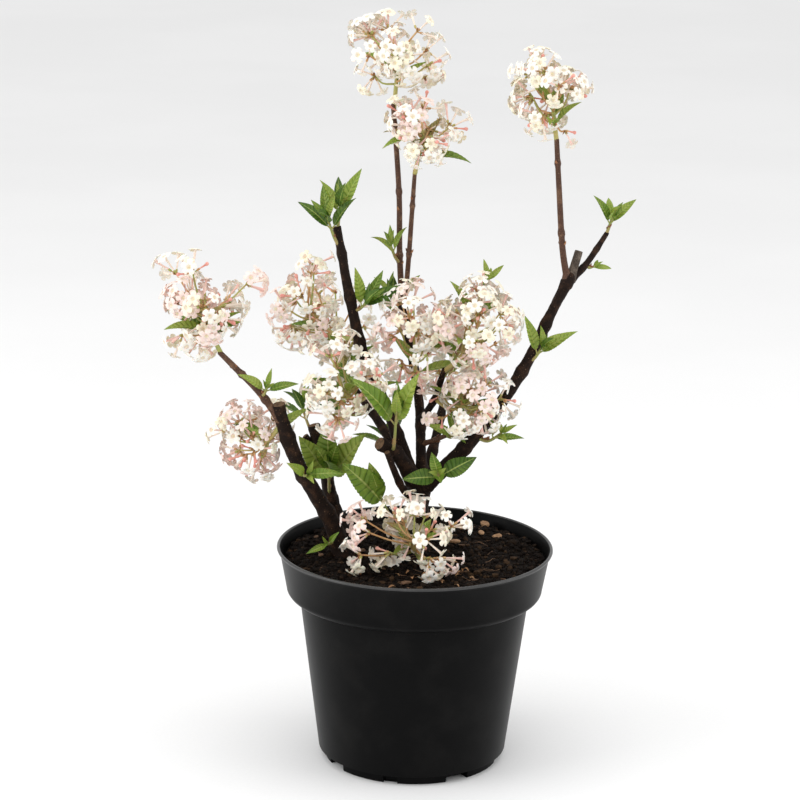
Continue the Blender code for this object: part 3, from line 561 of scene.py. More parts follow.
KNUCKLES = {
    "left_stem": (0.30, 0.55, 0.80), "rear_left_stem": (0.40, 0.75), "right_bough": (0.22, 0.41, 0.60,
        0.80, 0.97),
    "upper_left_bough": (0.20, 0.38, 0.57, 0.74, 0.90), "centre_bough": (0.30, 0.62, 0.97),
        "trunk": (0.55,),
    "back_left_bough": (0.35, 0.70), "back_right_bough": (0.35, 0.70), "left_shoot": (0.28, 0.66),
    "centre_left_shoot": (0.04, 0.27, 0.58, 0.90), "centre_right_shoot": (0.05, 0.40, 0.75),
    "right_top_shoot": (0.05, 0.36, 0.84), "right_spur": (0.30, 0.70), "blossom_branch": (0.45, 0.80),
    "centre_twig": (0.60,), "thin_front_branch": (0.45,), "pruned_branch": (0.60,),
}


def smooth_path(points, radii, steps):
    """Points and radii on a smooth curve through the given ones, steps to each stretch."""
    spots = [Vector(point) for point in points]
    ends = [2 * spots[0] - spots[1], *spots, 2 * spots[-1] - spots[-2]]
    path, widths = [], []
    for index in range(len(spots) - 1):
        before, start, stop, after = ends[index : index + 4]
        for step in range(steps):
            t = step / steps
            path.append(
                0.5 * (2 * start + (stop - before) * t + (2 * before - 5 * start + 4 * stop - after) * t * t
                       + (3 * start - before - 3 * stop + after) * t * t * t)
            )
            widths.append(radii[index] + (radii[index + 1] - radii[index]) * t)
    return path + [spots[-1]], widths + [radii[-1]]


def limb_mesh(name, points, radii):
    """One tapering limb with cracked bark, knuckles, a flared or collared foot and a closed tip."""
    run = sum((Vector(b) - Vector(a)).length for a, b in zip(points, points[1:]))
    steps = max(4, round(run / RING_SPACING / (len(points) - 1)))
    path, widths = smooth_path(points, radii, steps)
    young, standing, pruned = name in YOUNG, points[0][2] == STEM_FOOT, name in PRUNED
    travelled = [0.0]
    for here, there in zip(path, path[1:]):
        travelled.append(travelled[-1] + (there - here).length)
    knuckles = [share * travelled[-1] for share in KNUCKLES.get(name, ())]
    frames = carried_frames(path)
    key = sum(map(ord, name))
    rows = []
    for index, (centre, width, (across, aside, tangent)) in enumerate(zip(path, widths, frames)):
        along = travelled[index]
        swell = 1.0
        for knuckle in knuckles:
            height, width_along = YOUNG_KNUCKLE if young else OLD_KNUCKLE
            swell += height * math.exp(-(((along - knuckle) / width_along) ** 2))
        if standing:
            swell += (ROOT_FLARE - 1.0) * math.exp(-((along / FLARE_HEIGHT) ** 1.4))
        else:
            swell += 0.30 * math.exp(-((along / (width * 2.2)) ** 2))
        for side in range(LIMB_SIDES):
            turn = math.tau * side / LIMB_SIDES
            outward = math.cos(turn) * across + math.sin(turn) * aside
            crack = noise.noise((math.cos(turn) * 2.6 + key, math.sin(turn) * 2.6, along * 130))
            knob = noise.noise((math.cos(turn) * 1.2, math.sin(turn) * 1.2 + key, along * 55))
            pit = noise.noise((math.cos(turn) * 5.5, math.sin(turn) * 5.5, along * 520 + key))
            rough = 0.03 * knob + 0.015 * crack
            if not young:
                rough = 0.11 * knob - 0.10 * abs(crack) + 0.065 * pit
            flute = 0.0
            if standing:
                flute = 0.16 * math.cos(3 * turn + key) * math.exp(-along / 0.010)
            rows.append(tuple(centre + outward * width * (swell + rough + flute)))
    tip, (across, aside, tangent) = path[-1], frames[-1]
    closings = PRUNED_CLOSING if pruned else ROUND_CLOSING
    for share, out in closings:
        for side in range(LIMB_SIDES):
            turn = math.tau * side / LIMB_SIDES
            outward = math.cos(turn) * across + math.sin(turn) * aside
            rows.append(tuple(tip + tangent * widths[-1] * out + outward * widths[-1] * share))
    rings = len(path) + len(closings)
    faces = grid_faces(rings, LIMB_SIDES)
    paints = [0] * len(faces)
    if pruned:
        for index in range(len(path) * LIMB_SIDES, len(faces)):
            paints[index] = 1
    limb = Growth()
    limb.add(rows, faces, paints)
    return limb, path, widths


def bark_material(name, base, fleck, pale, roughness, relief, spots, specular):
    """Bark: mottled, with pale raised lenticels."""
    made = mottled(name, base, fleck, 150.0, 1300.0, 0.40, 0.50, roughness, relief, specular)
    nodes, links = made.node_tree.nodes, made.node_tree.links
    mottle = nodes["mottle"]
    place = nodes.new("ShaderNodeTexCoord")
    squash = nodes.new("ShaderNodeMapping")
    squash.inputs["Scale"].default_value = (1.0, 1.0, 0.7)
    cells = nodes.new("ShaderNodeTexVoronoi")
    cells.inputs["Scale"].default_value = spots
    links.new(place.outputs["Object"], squash.inputs["Vector"])
    links.new(squash.outputs["Vector"], cells.inputs["Vector"])
    mask = nodes.new("ShaderNodeMapRange")
    mask.interpolation_type = "SMOOTHSTEP"
    mask.inputs["From Min"].default_value = 0.19
    mask.inputs["From Max"].default_value = 0.10
    links.new(cells.outputs["Distance"], mask.inputs["Value"])
    paint = nodes.new("ShaderNodeMix")
    paint.data_type = "RGBA"
    paint.inputs["B"].default_value = (*pale, 1.0)
    links.new(mask.outputs["Result"], paint.inputs["Factor"])
    links.new(mottle.outputs["Colour"], paint.inputs["A"])
    links.new(paint.outputs["Result"], nodes["Principled BSDF"].inputs["Base Color"])
    raised = nodes.new("ShaderNodeMath")
    raised.operation = "ADD"
    links.new(mottle.outputs["Height"], raised.inputs[0])
    links.new(mask.outputs["Result"], raised.inputs[1])
    links.new(raised.outputs[0], nodes["Bump"].inputs["Height"])
    return made


old_bark = bark_material(
    "old_bark", (0.0105, 0.0048, 0.0028), (0.040, 0.0190, 0.0100), (0.120, 0.070, 0.040), 0.75, 0.0011,
        430.0, 0.16
)
grey_bark = bark_material(
    "weathered_bark", (0.060, 0.046, 0.036), (0.15, 0.118, 0.092), (0.20, 0.16, 0.12), 0.85, 0.0008, 430.0,
        0.2
)
cut_wood = mottled(
    "weathered_cut", (0.16, 0.095, 0.052), (0.075, 0.044, 0.025), 420.0, 1600.0, 0.45, 0.3, 0.8, 0.0003, 0.2
)
young_bark = bark_material(
    "young_bark", (0.070, 0.030, 0.016), (0.165, 0.088, 0.048), (0.28, 0.18, 0.11), 0.55, 0.0003, 600.0, 0.3
)
wood_places, wood_radii = [], []
limb_paths = {}
for name, points, radii in LIMBS:
    limb, path, widths = limb_mesh(name, points, radii)
    limb_paths[name] = smooth_path(points, radii, 6)[0]
    wood_places += [tuple(point) for point in path]
    wood_radii += widths
    young = name in YOUNG
    bark = grey_bark if name == "right_grey_stub" else young_bark if young else old_bark
    piece = limb.piece(name + "_bark", [bark, cut_wood])
    on_the_plant(piece, "shoot_bark" if young else "bark", name)
wood_places, wood_radii = np.array(wood_places), np.array(wood_radii)


def clear_of_wood(point, berth):
    """True where a point stands this far off all bark and above the compost."""
    gaps = np.linalg.norm(wood_places - np.array(point), axis=1) - wood_radii
    return gaps.min() > berth and point.z > COMPOST_TOP + berth * 0.5


# The leaves are fresh green blades, ribbed by oblique veins, folded along a pale midrib and finely toothed.
# They break in opposite pairs from short green shoots, out of red-brown scales on the old wood.
SHOOT_UPTURN, LIGHT_PULL = 0.22, 0.45
SHOOT_RADII = (0.0013, 0.0011, 0.0008)
LEAF_ROWS, LEAF_COLUMNS = 38, (-1.0, -0.72, -0.40, -0.07, 0.07, 0.40, 0.72, 1.0)
LEAF_WIDTH, BROAD_WIDTH = 0.30, 0.50
ROWS_PER_VEIN, VEIN_SLANT = 4, 0.13
ARCHES, FOLDS, SWAYS, TWISTS = (0.35, 1.05), (0.25, 0.55), (-0.3, 0.3), (-0.6, 0.6)
BROAD_SPRAYS = ("spray_broad_leaf", "spray_left_foot", "spray_right_foot")
STALK_LENGTH, STALK_RADII = 0.12, (0.0008, 0.00055)
SCALE_LENGTHS = (0.0024, 0.0042)
YOUNG_LEAVES = (0.55, 0.34)
NODE_SCALES = ((0.35, (0.0030, 0.0042), 1), (0.15, (0.0024, 0.0032), -1))
MIDDLE_DEPTH = 0.022
LEAF_BERTH = 0.0021
# Each spray: its limb, how far along it stands, its tip, leaf length, pairs of leaves, and the angles in
# degrees by which they open and by which the first pair is turned.
SPRAYS = (
    ("spray_upper_left_outer", "upper_left_bough", 0.93, (-0.062, 0.000, 0.380), 0.034, 2, 38, 0),
    ("spray_upper_left_tip", "upper_left_bough", 0.985, (-0.054, 0.006, 0.388), 0.034, 2, 30, 20),
    ("spray_right_tip", "right_spur", 0.97, (0.129, 0.014, 0.380), 0.026, 2, 40, 10),
    ("spray_right_fork", "right_spur", 0.45, (0.117, 0.008, 0.348), 0.016, 1, 45, 0),
    ("spray_right_bough_high", "right_bough", 0.62, (0.083, -0.012, 0.296), 0.033, 2, 42, 0),
    ("spray_right_bough_low", "right_bough", 0.30, (0.057, -0.012, 0.236), 0.024, 2, 52, 15),
    ("spray_centre", "centre_twig", 0.97, (0.026, 0.000, 0.232), 0.028, 2, 60, 30),
    ("spray_right_foot", "right_bough", 0.12, (0.015, -0.014, 0.206), 0.031, 1, 66, 14),
    ("spray_above_right", "blossom_branch", 0.80, (0.047, 0.018, 0.336), 0.030, 2, 48, 0),
    ("spray_beside_upper_left", "upper_left_bough", 0.72, (-0.036, 0.000, 0.322), 0.034, 2, 30, 0),
    ("spray_long_pair", "pruned_branch", 0.60, (-0.014, -0.042, 0.257), 0.054, 1, 24, 0),
    ("spray_left_foot", "rear_left_stem", 0.42, (-0.060, 0.010, 0.203), 0.046, 2, 26, 0),
    ("spray_broad_leaf", "trunk", 0.14, (-0.026, -0.004, 0.192), 0.044, 1, 20, 0),
    ("spray_left_shoot", "left_shoot", 0.30, (-0.101, -0.032, 0.270), 0.026, 1, 58, 0),
    ("spray_centre_shoot", "centre_left_shoot", 0.28, (-0.020, 0.024, 0.358), 0.022, 2, 32, 0),
    ("spray_left_stem", "left_stem", 0.50, (-0.074, -0.022, 0.207), 0.028, 1, 50, 20),
    ("spray_foot_left", "left_stem", 0.16, (-0.060, -0.014, 0.156), 0.017, 1, 55, 0),
    ("spray_back_low", "back_left_bough", 0.35, (-0.022, 0.052, 0.214), 0.034, 2, 48, 0),
    ("spray_back_right", "back_right_bough", 0.55, (0.036, 0.060, 0.232), 0.034, 2, 46, 45),
    ("spray_back_left", "back_left_bough", 0.70, (-0.058, 0.052, 0.238), 0.032, 2, 46, 20),
    ("spray_back_high", "centre_bough", 0.86, (-0.020, 0.052, 0.318), 0.034, 2, 40, 10),
    ("spray_rear_stem", "rear_left_stem", 0.90, (-0.080, 0.044, 0.238), 0.032, 2, 44, 0),
)


def place_on(limb, share):
    """The point on a limb's axis this share of the way from its foot to its tip."""
    path = limb_paths[limb]
    index = min(int(share * (len(path) - 1)), len(path) - 2)
    return path[index].lerp(path[index + 1], share * (len(path) - 1) - index)


def stem_from(limb, share, end):
    """The bent path of a shoot or flower stem, from its limb's axis to its end."""
    start, end = place_on(limb, share), Vector(end)
    run = Vector((end.x - start.x, end.y - start.y, 0.0)).length
    return [start, start.lerp(end, 0.5) - Vector((0.0, 0.0, run * SHOOT_UPTURN)), end]


def on_stem(path, share):
    start, middle, end = path
    return start.lerp(middle, 2 * share) if share < 0.5 else middle.lerp(end, 2 * share - 1)


def nudged(direction, amount, chance):
    """A direction turned a little, at random but seeded."""
    shift = Vector((chance.gauss(0, 1), chance.gauss(0, 1), chance.gauss(0, 1)))
    return (direction + shift * amount).normalized()


leaves, leaf_shoots = Growth(), Growth()
LEAF_LIGHT, LEAF_GREEN, LEAF_DEEP, LEAF_BRONZE, MIDRIB_PALE = range(5)
# The paints after the midrib are darker copies of the leaf paints, painted shade in the furrows between the
# veins.
FURROW_SHADE_PAINTS = MIDRIB_PALE + 1


def grow_leaf(root, heading, length, facing, chance, paint, width=LEAF_WIDTH):
    """One leaf on its stalk: the blade arches back, folds along the midrib and puckers between its veins."""
    aside = heading.cross(facing).normalized()
    normal = aside.cross(heading).normalized()
    stalk_end = root + heading * length * STALK_LENGTH + normal * length * 0.01
    leaf_shoots.add(*round_tube([root, root.lerp(stalk_end, 0.6), stalk_end + heading * 0.0008],
                                [STALK_RADII[0], STALK_RADII[1], STALK_RADII[1] * 0.8], 5), 1)
    blade = length * (1.0 - STALK_LENGTH)
    arch, fold = chance.uniform(*ARCHES), chance.uniform(*FOLDS)
    sway, twist = chance.uniform(*SWAYS), chance.uniform(*TWISTS)
    rows, paints, at = [], [], stalk_end.copy()
    for row in range(LEAF_ROWS):
        along = row / (LEAF_ROWS - 1)
        bend = arch * (along - 0.45)
        curve = aside * sway * (along - 0.3) * 0.5
        forward = (heading * math.cos(bend) - normal * math.sin(bend) + curve).normalized()
        lift = aside.cross(forward).normalized()
        side_way = (aside * math.cos(twist * along) + lift * math.sin(twist * along)).normalized()
        lift = side_way.cross(forward).normalized()
        tooth = 1.0 + (0.055 if row % 2 else -0.02) * (1.0 if 0.12 < along < 0.95 else 0.0)
        vein = math.cos(math.tau * row / ROWS_PER_VEIN)
        for column in LEAF_COLUMNS:
            out = abs(column)
            slant = VEIN_SLANT * out * math.sin(math.pi * along)
            there = min(along + slant, 1.0)
            taper = max(math.sin(math.pi * there ** 0.76), 0.0) ** 0.95 * (1.0 - 0.15 * there)
            half = blade * width / 2 * taper + 0.00008
            pucker = blade * 0.017 * vein * min(1.0,
                half / (blade * 0.08)) * (0.25 + 0.75 * math.sin(math.pi * out))
            rise = half * fold * out ** 1.3 + pucker - (blade * 0.006 if out < 0.1 else 0.0)
            reach = half * column * (tooth if out == 1.0 else 1.0)
            rows.append(tuple(at + forward * blade * slant + side_way * reach + lift * rise))
        at = at + forward * blade / (LEAF_ROWS - 1)
    per_row = len(LEAF_COLUMNS) - 1
    for row in range(LEAF_ROWS - 1):
        # One row of faces in every four, in the furrow between two veins, takes the darker copy of its paint:
        # painted shade in the furrow.
        blade_paint = paint + FURROW_SHADE_PAINTS if row % ROWS_PER_VEIN == ROWS_PER_VEIN // 2 else paint
        paints += [MIDRIB_PALE if column == per_row // 2 else blade_paint for column in range(per_row)]
    leaves.add(rows, grid_faces(LEAF_ROWS, len(LEAF_COLUMNS), closed=False), paints)


def grow_scale(root, heading, length, paint, bundle, aside_way):
    """One pointed scale, cupped like the bud that it once covered."""
    aside = heading.cross(aside_way).normalized()
    normal = aside.cross(heading).normalized()
    rows = []
    for along in (0.0, 0.3, 0.62, 0.86, 1.0):
        half = length * 0.30 * math.sin(math.pi * (0.16 + 0.84 * along)) + 0.00004
        bulge = length * 0.20 * math.sin(math.pi * along)
        centre = root + heading * length * along + normal * bulge
        rows += [tuple(centre - aside * half - normal * half * 0.7), tuple(centre),
                 tuple(centre + aside * half - normal * half * 0.7)]
    bundle.add(rows, grid_faces(5, 3, closed=False), paint)


for name, limb, share, tip, length, pairs, opening, turn in SPRAYS:
    chance = random.Random(name)
    path = stem_from(limb, share, tip)
    curve, widths = smooth_path(path, SHOOT_RADII, 5)
    leaf_shoots.add(*round_tube(curve, widths, 7), 0)
    shoot = (path[2] - path[1]).normalized()
    shoot = (shoot + Vector((0.0, 0.0, LIGHT_PULL))).normalized()
    light = Vector((0.0, -1.0 if path[2].y < MIDDLE_DEPTH else 1.0, 0.0))
    across = shoot.cross(Vector((0.0, 1.0, 0.15))).normalized()
    tones = (LEAF_GREEN, LEAF_LIGHT, LEAF_DEEP) if length > 0.03 else (LEAF_LIGHT, LEAF_GREEN, LEAF_LIGHT)
    for pair in range(pairs + 2):
        small = pair >= pairs
        for side in (0, 1):
            root = on_stem(path, min(0.56 + 0.34 * (pair + 1) / (pairs + 0.4), 0.985))
            about = math.radians(turn + 90 * pair + 180 * side) + chance.uniform(-0.2, 0.2)
            outward = Matrix.Rotation(about, 3, shoot) @ across
            lean = math.radians((opening if not small else opening * 0.55) + chance.uniform(-8, 12))
            heading = (shoot * math.cos(lean) + outward * math.sin(lean)).normalized()
            share = YOUNG_LEAVES[pair - pairs] if small else 1.0 - 0.18 * pair
            size = length * chance.uniform(0.85, 1.05) * share
            spot = root + heading * size * 0.55
            if clear_of_wood(spot, LEAF_BERTH) and clear_of_wood(root + heading * size * 0.95, LEAF_BERTH):
                grow_leaf(root, heading, size, shoot * 0.5 + Vector((0, 0, 0.3)) + light * 0.8, chance,
                          chance.choice(tones), BROAD_WIDTH if name in BROAD_SPRAYS else LEAF_WIDTH)
    for scale in range(6):
        about = math.tau * scale / 6 + chance.uniform(-0.3, 0.3)
        outward = Matrix.Rotation(about, 3, shoot) @ across
        base = on_stem(path, 0.30 + 0.08 * (scale % 3) + 0.05 * chance.random())
        if clear_of_wood(base, 0.0):
            heading = (shoot + outward * 0.5).normalized()
            grow_scale(base, heading, chance.uniform(*SCALE_LENGTHS), 2, leaf_shoots, outward)
spray_nodes = [spray[0] for spray in SPRAYS]
for name, shares in KNUCKLES.items():
    if name not in YOUNG:
        continue
    chance = random.Random(name)
    path = limb_paths[name]
    for index, share in enumerate(shares):
        spot = place_on(name, share)
        way = (path[min(int(share * (len(path) - 1)) + 1, len(path) - 1)] - spot).normalized()
        for side in (0, 1):
            about = math.pi * side + math.pi / 2 * (index % 2) + 0.3
            outward = Matrix.Rotation(about, 3, way) @ way.orthogonal().normalized()
            root = spot + outward * 0.0016
            for lean, lengths, facing in NODE_SCALES:
                heading = (way + outward * lean).normalized()
                grow_scale(root, heading, chance.uniform(*lengths), 2, leaf_shoots, outward * facing)

# The flowers open in sprays from the ends of the shoots. A green to rust-coloured stem forks to nodes, and at
# each node a handful of narrow trumpets spread, each opening to five rounded white lobes flushed with pink.
STEM_RADII = (0.0017, 0.0014, 0.0010)
TWIG_RADII = (0.00085, 0.00065, 0.0006)
STALK_RADII_FLOWER = (0.0005, 0.0004, 0.00055)
REAL_FLOWERS = 5.8
TUBE_LENGTHS = (0.0104, 0.0136)
FLOWER_SIZES = (0.82, 1.04)
LOBES, LOBE_STEPS = 5, 6
BUD_SHARE, LATE_BUDS = 0.10, 0.22
TIGHTEST = 0.0056
FURTHEST = (1.00, 1.27)
CYME_FLOWERS, CYME_RANGE = 6.0, (4.0, 8.4)
CYME_SPREAD = 0.34
NODE_REACH = (0.18, 0.82)
FAN = (0.06, 1.12)
MOUTH_BERTH, STALK_BERTH = 0.0035, 0.0015
CYME_TRIES, SWING = 5, 0.20
PEDICELS = (0.0014, 0.0052)
GOLDEN_ANGLE = math.pi * (3.0 - math.sqrt(5.0))
BRACT_LENGTHS = (0.002, 0.004)
BLOSSOM_LEAF = (0.022, 0.038)
# Each blossom: its limb, how far along it stands, its centre and half sizes, the sprays of flowers and the
# leaves in it, and the share of flushed sprays.
BLOSSOMS = (
    ("blossom_top_left", "left_shoot", 0.96, (-0.144, -0.036, 0.328), (0.042, 0.036, 0.040), 19, 9, 0.30),
    ("blossom_top", "centre_left_shoot", 0.98, (-0.016, 0.034, 0.487), (0.036, 0.033, 0.027), 16, 4, 0.12),
    ("blossom_below_top", "centre_right_shoot", 0.97, (0.001, 0.009, 0.439), (0.035, 0.029, 0.026), 13, 5,
        0.15),
    ("blossom_top_right", "right_top_shoot", 0.98, (0.085, -0.008, 0.467), (0.032, 0.030, 0.033), 16, 5,
        0.12),
    ("blossom_upper_left", "upper_left_bough", 0.58, (-0.077, 0.019, 0.318), (0.027, 0.028, 0.034), 13, 2,
        0.35),
    ("blossom_low_left", "left_stem", 0.74, (-0.111, -0.008, 0.225), (0.028, 0.030, 0.038), 14, 3, 0.75),
    ("blossom_middle_left", "upper_left_bough", 0.40, (-0.050, -0.030, 0.268), (0.035, 0.028, 0.040), 17,
        4, 0.25),
    ("blossom_right_high", "blossom_branch", 0.97, (0.041, -0.014, 0.314), (0.033, 0.030, 0.032), 16, 3,
        0.30),
    ("blossom_middle", "centre_bough", 0.72, (-0.003, -0.004, 0.303), (0.030, 0.028, 0.036), 14, 3, 0.35),
    ("blossom_right_low", "blossom_branch", 0.55, (0.037, -0.010, 0.258), (0.033, 0.028, 0.024), 13, 4,
        0.40),
    ("blossom_foot", "trunk", 0.36, (-0.001, -0.046, 0.1715), (0.050, 0.034, 0.029), 17, 6, 0.15),
    ("blossom_back_left", "back_left_bough", 0.97, (-0.058, 0.080, 0.283), (0.032, 0.030, 0.034), 14, 5,
        0.30),
    ("blossom_back_right", "back_right_bough", 0.97, (0.027, 0.081, 0.278), (0.034, 0.030, 0.032), 14, 5,
        0.30),
)
PETAL_WHITE, PETAL_CREAM, PETAL_BLUSH, TUBE_PALE, TUBE_ROSE, THROAT, BUD_PINK = range(7)


def spread_directions(count, turn):
    """Unit vectors spread evenly over a sphere, from the bottom up."""
    directions = []
    for index in range(count):
        height = -1.0 + 2.0 * (index + 0.5) / count
        flat = math.sqrt(1.0 - height * height)
        around = turn + GOLDEN_ANGLE * index
        directions.append(Vector((flat * math.cos(around), flat * math.sin(around), height)))
    return directions


def set_along(shape, root, heading, roll):
    """Points made along Z from the origin, turned to start at the root and run along the heading."""
    across = heading.orthogonal().normalized()
    aside = heading.cross(across)
    first = across * math.cos(roll) + aside * math.sin(roll)
    second = heading.cross(first)
    return shape @ np.array((first, second, heading)) + np.array(root)


def rings_of(levels, sides):
    """Rings of points round Z from pairs of radius and height."""
    turns = np.arange(sides) * math.tau / sides
    return np.concatenate(
        [np.stack((radius * np.cos(turns), radius * np.sin(turns), np.full(sides, height)), axis=1)
         for radius, height in levels]
    )


COROLLA_SIDES = LOBES * LOBE_STEPS
COROLLA_FACES = np.array(grid_faces(7, COROLLA_SIDES))
TUBE_FACES = np.array(grid_faces(6, 8))
CALYX_FACES = np.array(grid_faces(5, 7))
BUD_FACES = np.array(grid_faces(8, 8))


def grow_flower(bundle, stalks, root, heading, length, size, chance, petal, tube_paint):
    """A trumpet flower: calyx, narrow tube, throat and five rounded, slightly reflexed lobes."""
    mm = 0.001
    roll = chance.uniform(0, math.tau)
    reach, notch, throat = 5.5 * mm * size, 3.0 * mm * size, 1.6 * mm * size
    place = np.arange(COROLLA_SIDES)
    across = (place % LOBE_STEPS) / LOBE_STEPS * 2.0 - 1.0
    lobe = place // LOBE_STEPS
    reaches = np.array([chance.uniform(0.90, 1.08) for _ in range(LOBES)])[lobe]
    curls = np.array([chance.uniform(0.1, 2.1) for _ in range(LOBES)])[lobe] * mm * size
    bulge = (1.0 - np.abs(across) ** 2.8) ** 0.5
    edge = notch + (reach * reaches - notch) * bulge
    turns = place * math.tau / COROLLA_SIDES
    levels = [(0.05 * mm * size * np.ones(COROLLA_SIDES), -1.9 * mm * np.ones(COROLLA_SIDES)),
              (1.05 * mm * size * np.ones(COROLLA_SIDES), -1.0 * mm * np.ones(COROLLA_SIDES)),
              (throat * np.ones(COROLLA_SIDES), -0.10 * mm * np.ones(COROLLA_SIDES))]
    for share in (0.38, 0.68, 0.90, 1.0):
        radius = throat + share * (edge - throat)
        lift = (0.42 * math.sin(math.pi * share * 0.75)) * mm * size - curls * share ** 2.2 * bulge
        lift = lift - 0.35 * mm * size * across ** 2 * share
        levels.append((radius, lift))
    corolla = np.concatenate(
        [np.stack((radius * np.cos(turns), radius * np.sin(turns), length + lift), axis=1) for radius,
            lift in levels]
    )
    bend = chance.uniform(-0.9, 0.9) * mm
    tube = rings_of([(0.50 * mm, 0.0), (0.58 * mm, length * 0.3), (0.72 * mm, length * 0.6),
                     (1.0 * mm * size, length * 0.85), (1.42 * mm * size, length - 0.45 * mm),
                     (1.75 * mm * size, length - 0.05 * mm)], 8)
    for shape in (corolla, tube):
        shape[:, 0] += bend * (shape[:, 2] / length - 0.5) ** 2 * 2.0
    paints = np.full(len(COROLLA_FACES), petal)
    paints[: 2 * COROLLA_SIDES] = THROAT
    bundle.add(set_along(corolla, root, heading, roll), COROLLA_FACES, paints)
    bundle.add(set_along(tube, root, heading, roll), TUBE_FACES, tube_paint)
    calyx = rings_of([(0.30 * mm, -1.5 * mm), (0.80 * mm, -0.8 * mm), (0.85 * mm, 0.5 * mm), (0.72 * mm,
        1.1 * mm),
                      (0.40 * mm, 1.3 * mm)], 7)
    stalks.add(set_along(calyx, root, heading, roll), CALYX_FACES, chance.choice((0, 1, 1, 2)))


def grow_bud(bundle, stalks, root, heading, length, chance):
    """A closed bud: a slim tube with a rounded pink head."""
    mm = 0.001
    bud = rings_of([(0.45 * mm, 0.0), (0.52 * mm, length * 0.35), (0.68 * mm, length * 0.65),
                    (1.15 * mm, length * 0.80), (1.30 * mm, length * 0.88), (1.05 * mm, length * 0.96),
                    (0.5 * mm, length), (0.05 * mm, length * 1.01)], 8)
    bundle.add(set_along(bud, root, heading, chance.uniform(0, 6)), BUD_FACES, BUD_PINK)
    calyx = rings_of([(0.30 * mm, -1.5 * mm), (0.75 * mm, -0.8 * mm), (0.8 * mm, 0.5 * mm), (0.65 * mm,
        1.1 * mm),
                      (0.40 * mm, 1.3 * mm)], 7)
    stalks.add(set_along(calyx, root, heading, 0.0), CALYX_FACES, 1)


flower_groups = {
    "flowers_above": (Growth(), ("blossom_top_left", "blossom_top", "blossom_below_top",
        "blossom_top_right")),
    "flowers_amid": (Growth(), ("blossom_upper_left", "blossom_low_left", "blossom_middle_left",
        "blossom_right_high",
                                "blossom_middle")),
    "flowers_below_and_behind": (Growth(), ("blossom_right_low", "blossom_foot", "blossom_back_left",
                                            "blossom_back_right")),
}
stalks = Growth()
for name, limb, share, centre, radii, count, leaf_count, pinkness in BLOSSOMS:
    chance = random.Random(name)
    bundle = next(growth for growth, names in flower_groups.values() if name in names)
    middle, size = Vector(centre), Vector(radii)
    path = stem_from(limb, share, centre)
    curve, widths = smooth_path(path, STEM_RADII, 5)
    stalks.add(*round_tube(curve, widths, 7), chance.choice((0, 2)))
    mouths = []
    cyme_count = round(count * REAL_FLOWERS / CYME_FLOWERS)
    for index, direction in enumerate(spread_directions(cyme_count, chance.uniform(0, math.tau))):
        start = on_stem(path, 0.42 + 0.56 * (index + 0.5) / cyme_count)
        aim = nudged(direction, CYME_SPREAD, chance)
        reach = chance.uniform(*NODE_REACH)
        node = middle + Vector(aim[i] * size[i] * reach for i in range(3))
        if not clear_of_wood(node, STALK_BERTH):
            continue
        bowed = start.lerp(node, 0.5) + Vector((0, 0, -0.0018)) + nudged(aim, 0.5, chance) * 0.002
        curve, widths = smooth_path([start, bowed, node], TWIG_RADII, 3)
        twig_paint = chance.choice((0, 1, 1, 2))
        stalks.add(*round_tube(curve, widths, 6), twig_paint)
        for scale in range(3):
            length = chance.uniform(*BRACT_LENGTHS)
            grow_scale(node, nudged(aim, 0.7, chance), length, 3, stalks, nudged(aim, 0.9, chance))
        flushed = chance.random() < pinkness
        across = aim.orthogonal().normalized()
        aside = aim.cross(across)
        fan = round(chance.uniform(*CYME_RANGE))
        around = chance.uniform(0, math.tau)
        for member in range(fan):
            furthest = chance.uniform(*FURTHEST)
            for attempt in range(CYME_TRIES):
                polar = FAN[0] + (FAN[1] - FAN[0]) * math.sqrt((member + 0.5) / fan)
                polar *= 1.0 - 0.15 * attempt
                turn = around + GOLDEN_ANGLE * member + 0.6 * attempt
                swing = across * math.cos(turn) + aside * math.sin(turn)
                heading = nudged(aim * math.cos(polar) + swing * math.sin(polar), SWING, chance)
                length = chance.uniform(*TUBE_LENGTHS)
                pedicel = chance.uniform(*PEDICELS)
                root = node + heading * pedicel
                mouth = root + heading * length
                outside = Vector((mouth[i] - middle[i]) / size[i] for i in range(3)).length
                if outside > furthest or any((mouth - other).length < TIGHTEST for other in mouths):
                    continue
                waist = root.lerp(mouth, 0.5)
                if not (clear_of_wood(mouth, MOUTH_BERTH) and clear_of_wood(waist, STALK_BERTH)):
                    continue
                bow = root.lerp(node, 0.5) + nudged(heading, 0.5, chance) * 0.0007
                stalks.add(*round_tube([node, bow, root - heading * 0.0008], STALK_RADII_FLOWER, 5),
                    twig_paint)
                bud_share = BUD_SHARE + (LATE_BUDS if pinkness > 0.6 and aim.z < 0 else 0.0)
                if chance.random() < bud_share:
                    grow_bud(bundle, stalks, root, heading, length * chance.uniform(0.6, 0.95), chance)
                else:
                    petal = PETAL_BLUSH if flushed else chance.choice((PETAL_WHITE, PETAL_WHITE,
                        PETAL_CREAM))
                    rosy = chance.random() < (0.75 if flushed else 0.30)
                    grow_flower(bundle, stalks, root, heading, length, chance.uniform(*FLOWER_SIZES),
                        chance, petal,
                                TUBE_ROSE if rosy else TUBE_PALE)
                mouths.append(mouth)
                break
    for index in range(leaf_count):
        about = math.tau * (index / leaf_count + chance.uniform(-0.08, 0.08))
        heading = Vector((math.cos(about), math.sin(about) * 0.8, chance.uniform(-0.1, 0.9))).normalized()
        root = on_stem(path, 0.40 + 0.55 * (index % 4) / 4)
        length = chance.uniform(*BLOSSOM_LEAF)
        if all(clear_of_wood(root + heading * length * part, LEAF_BERTH) for part in (0.55, 1.0)):
            grow_leaf(root, heading, length, Vector((0, -0.4, 1.0)), chance,
                      chance.choice((LEAF_LIGHT, LEAF_LIGHT, LEAF_GREEN, LEAF_BRONZE)))


PETAL_GLOW, PETAL_GLOW_COLOURS, PETAL_GLOW_DEPTH = 0.25, (1.0, 0.7, 0.6), 0.002
LEAF_GLOW, LEAF_GLOW_DEPTH = 0.12, 0.0015


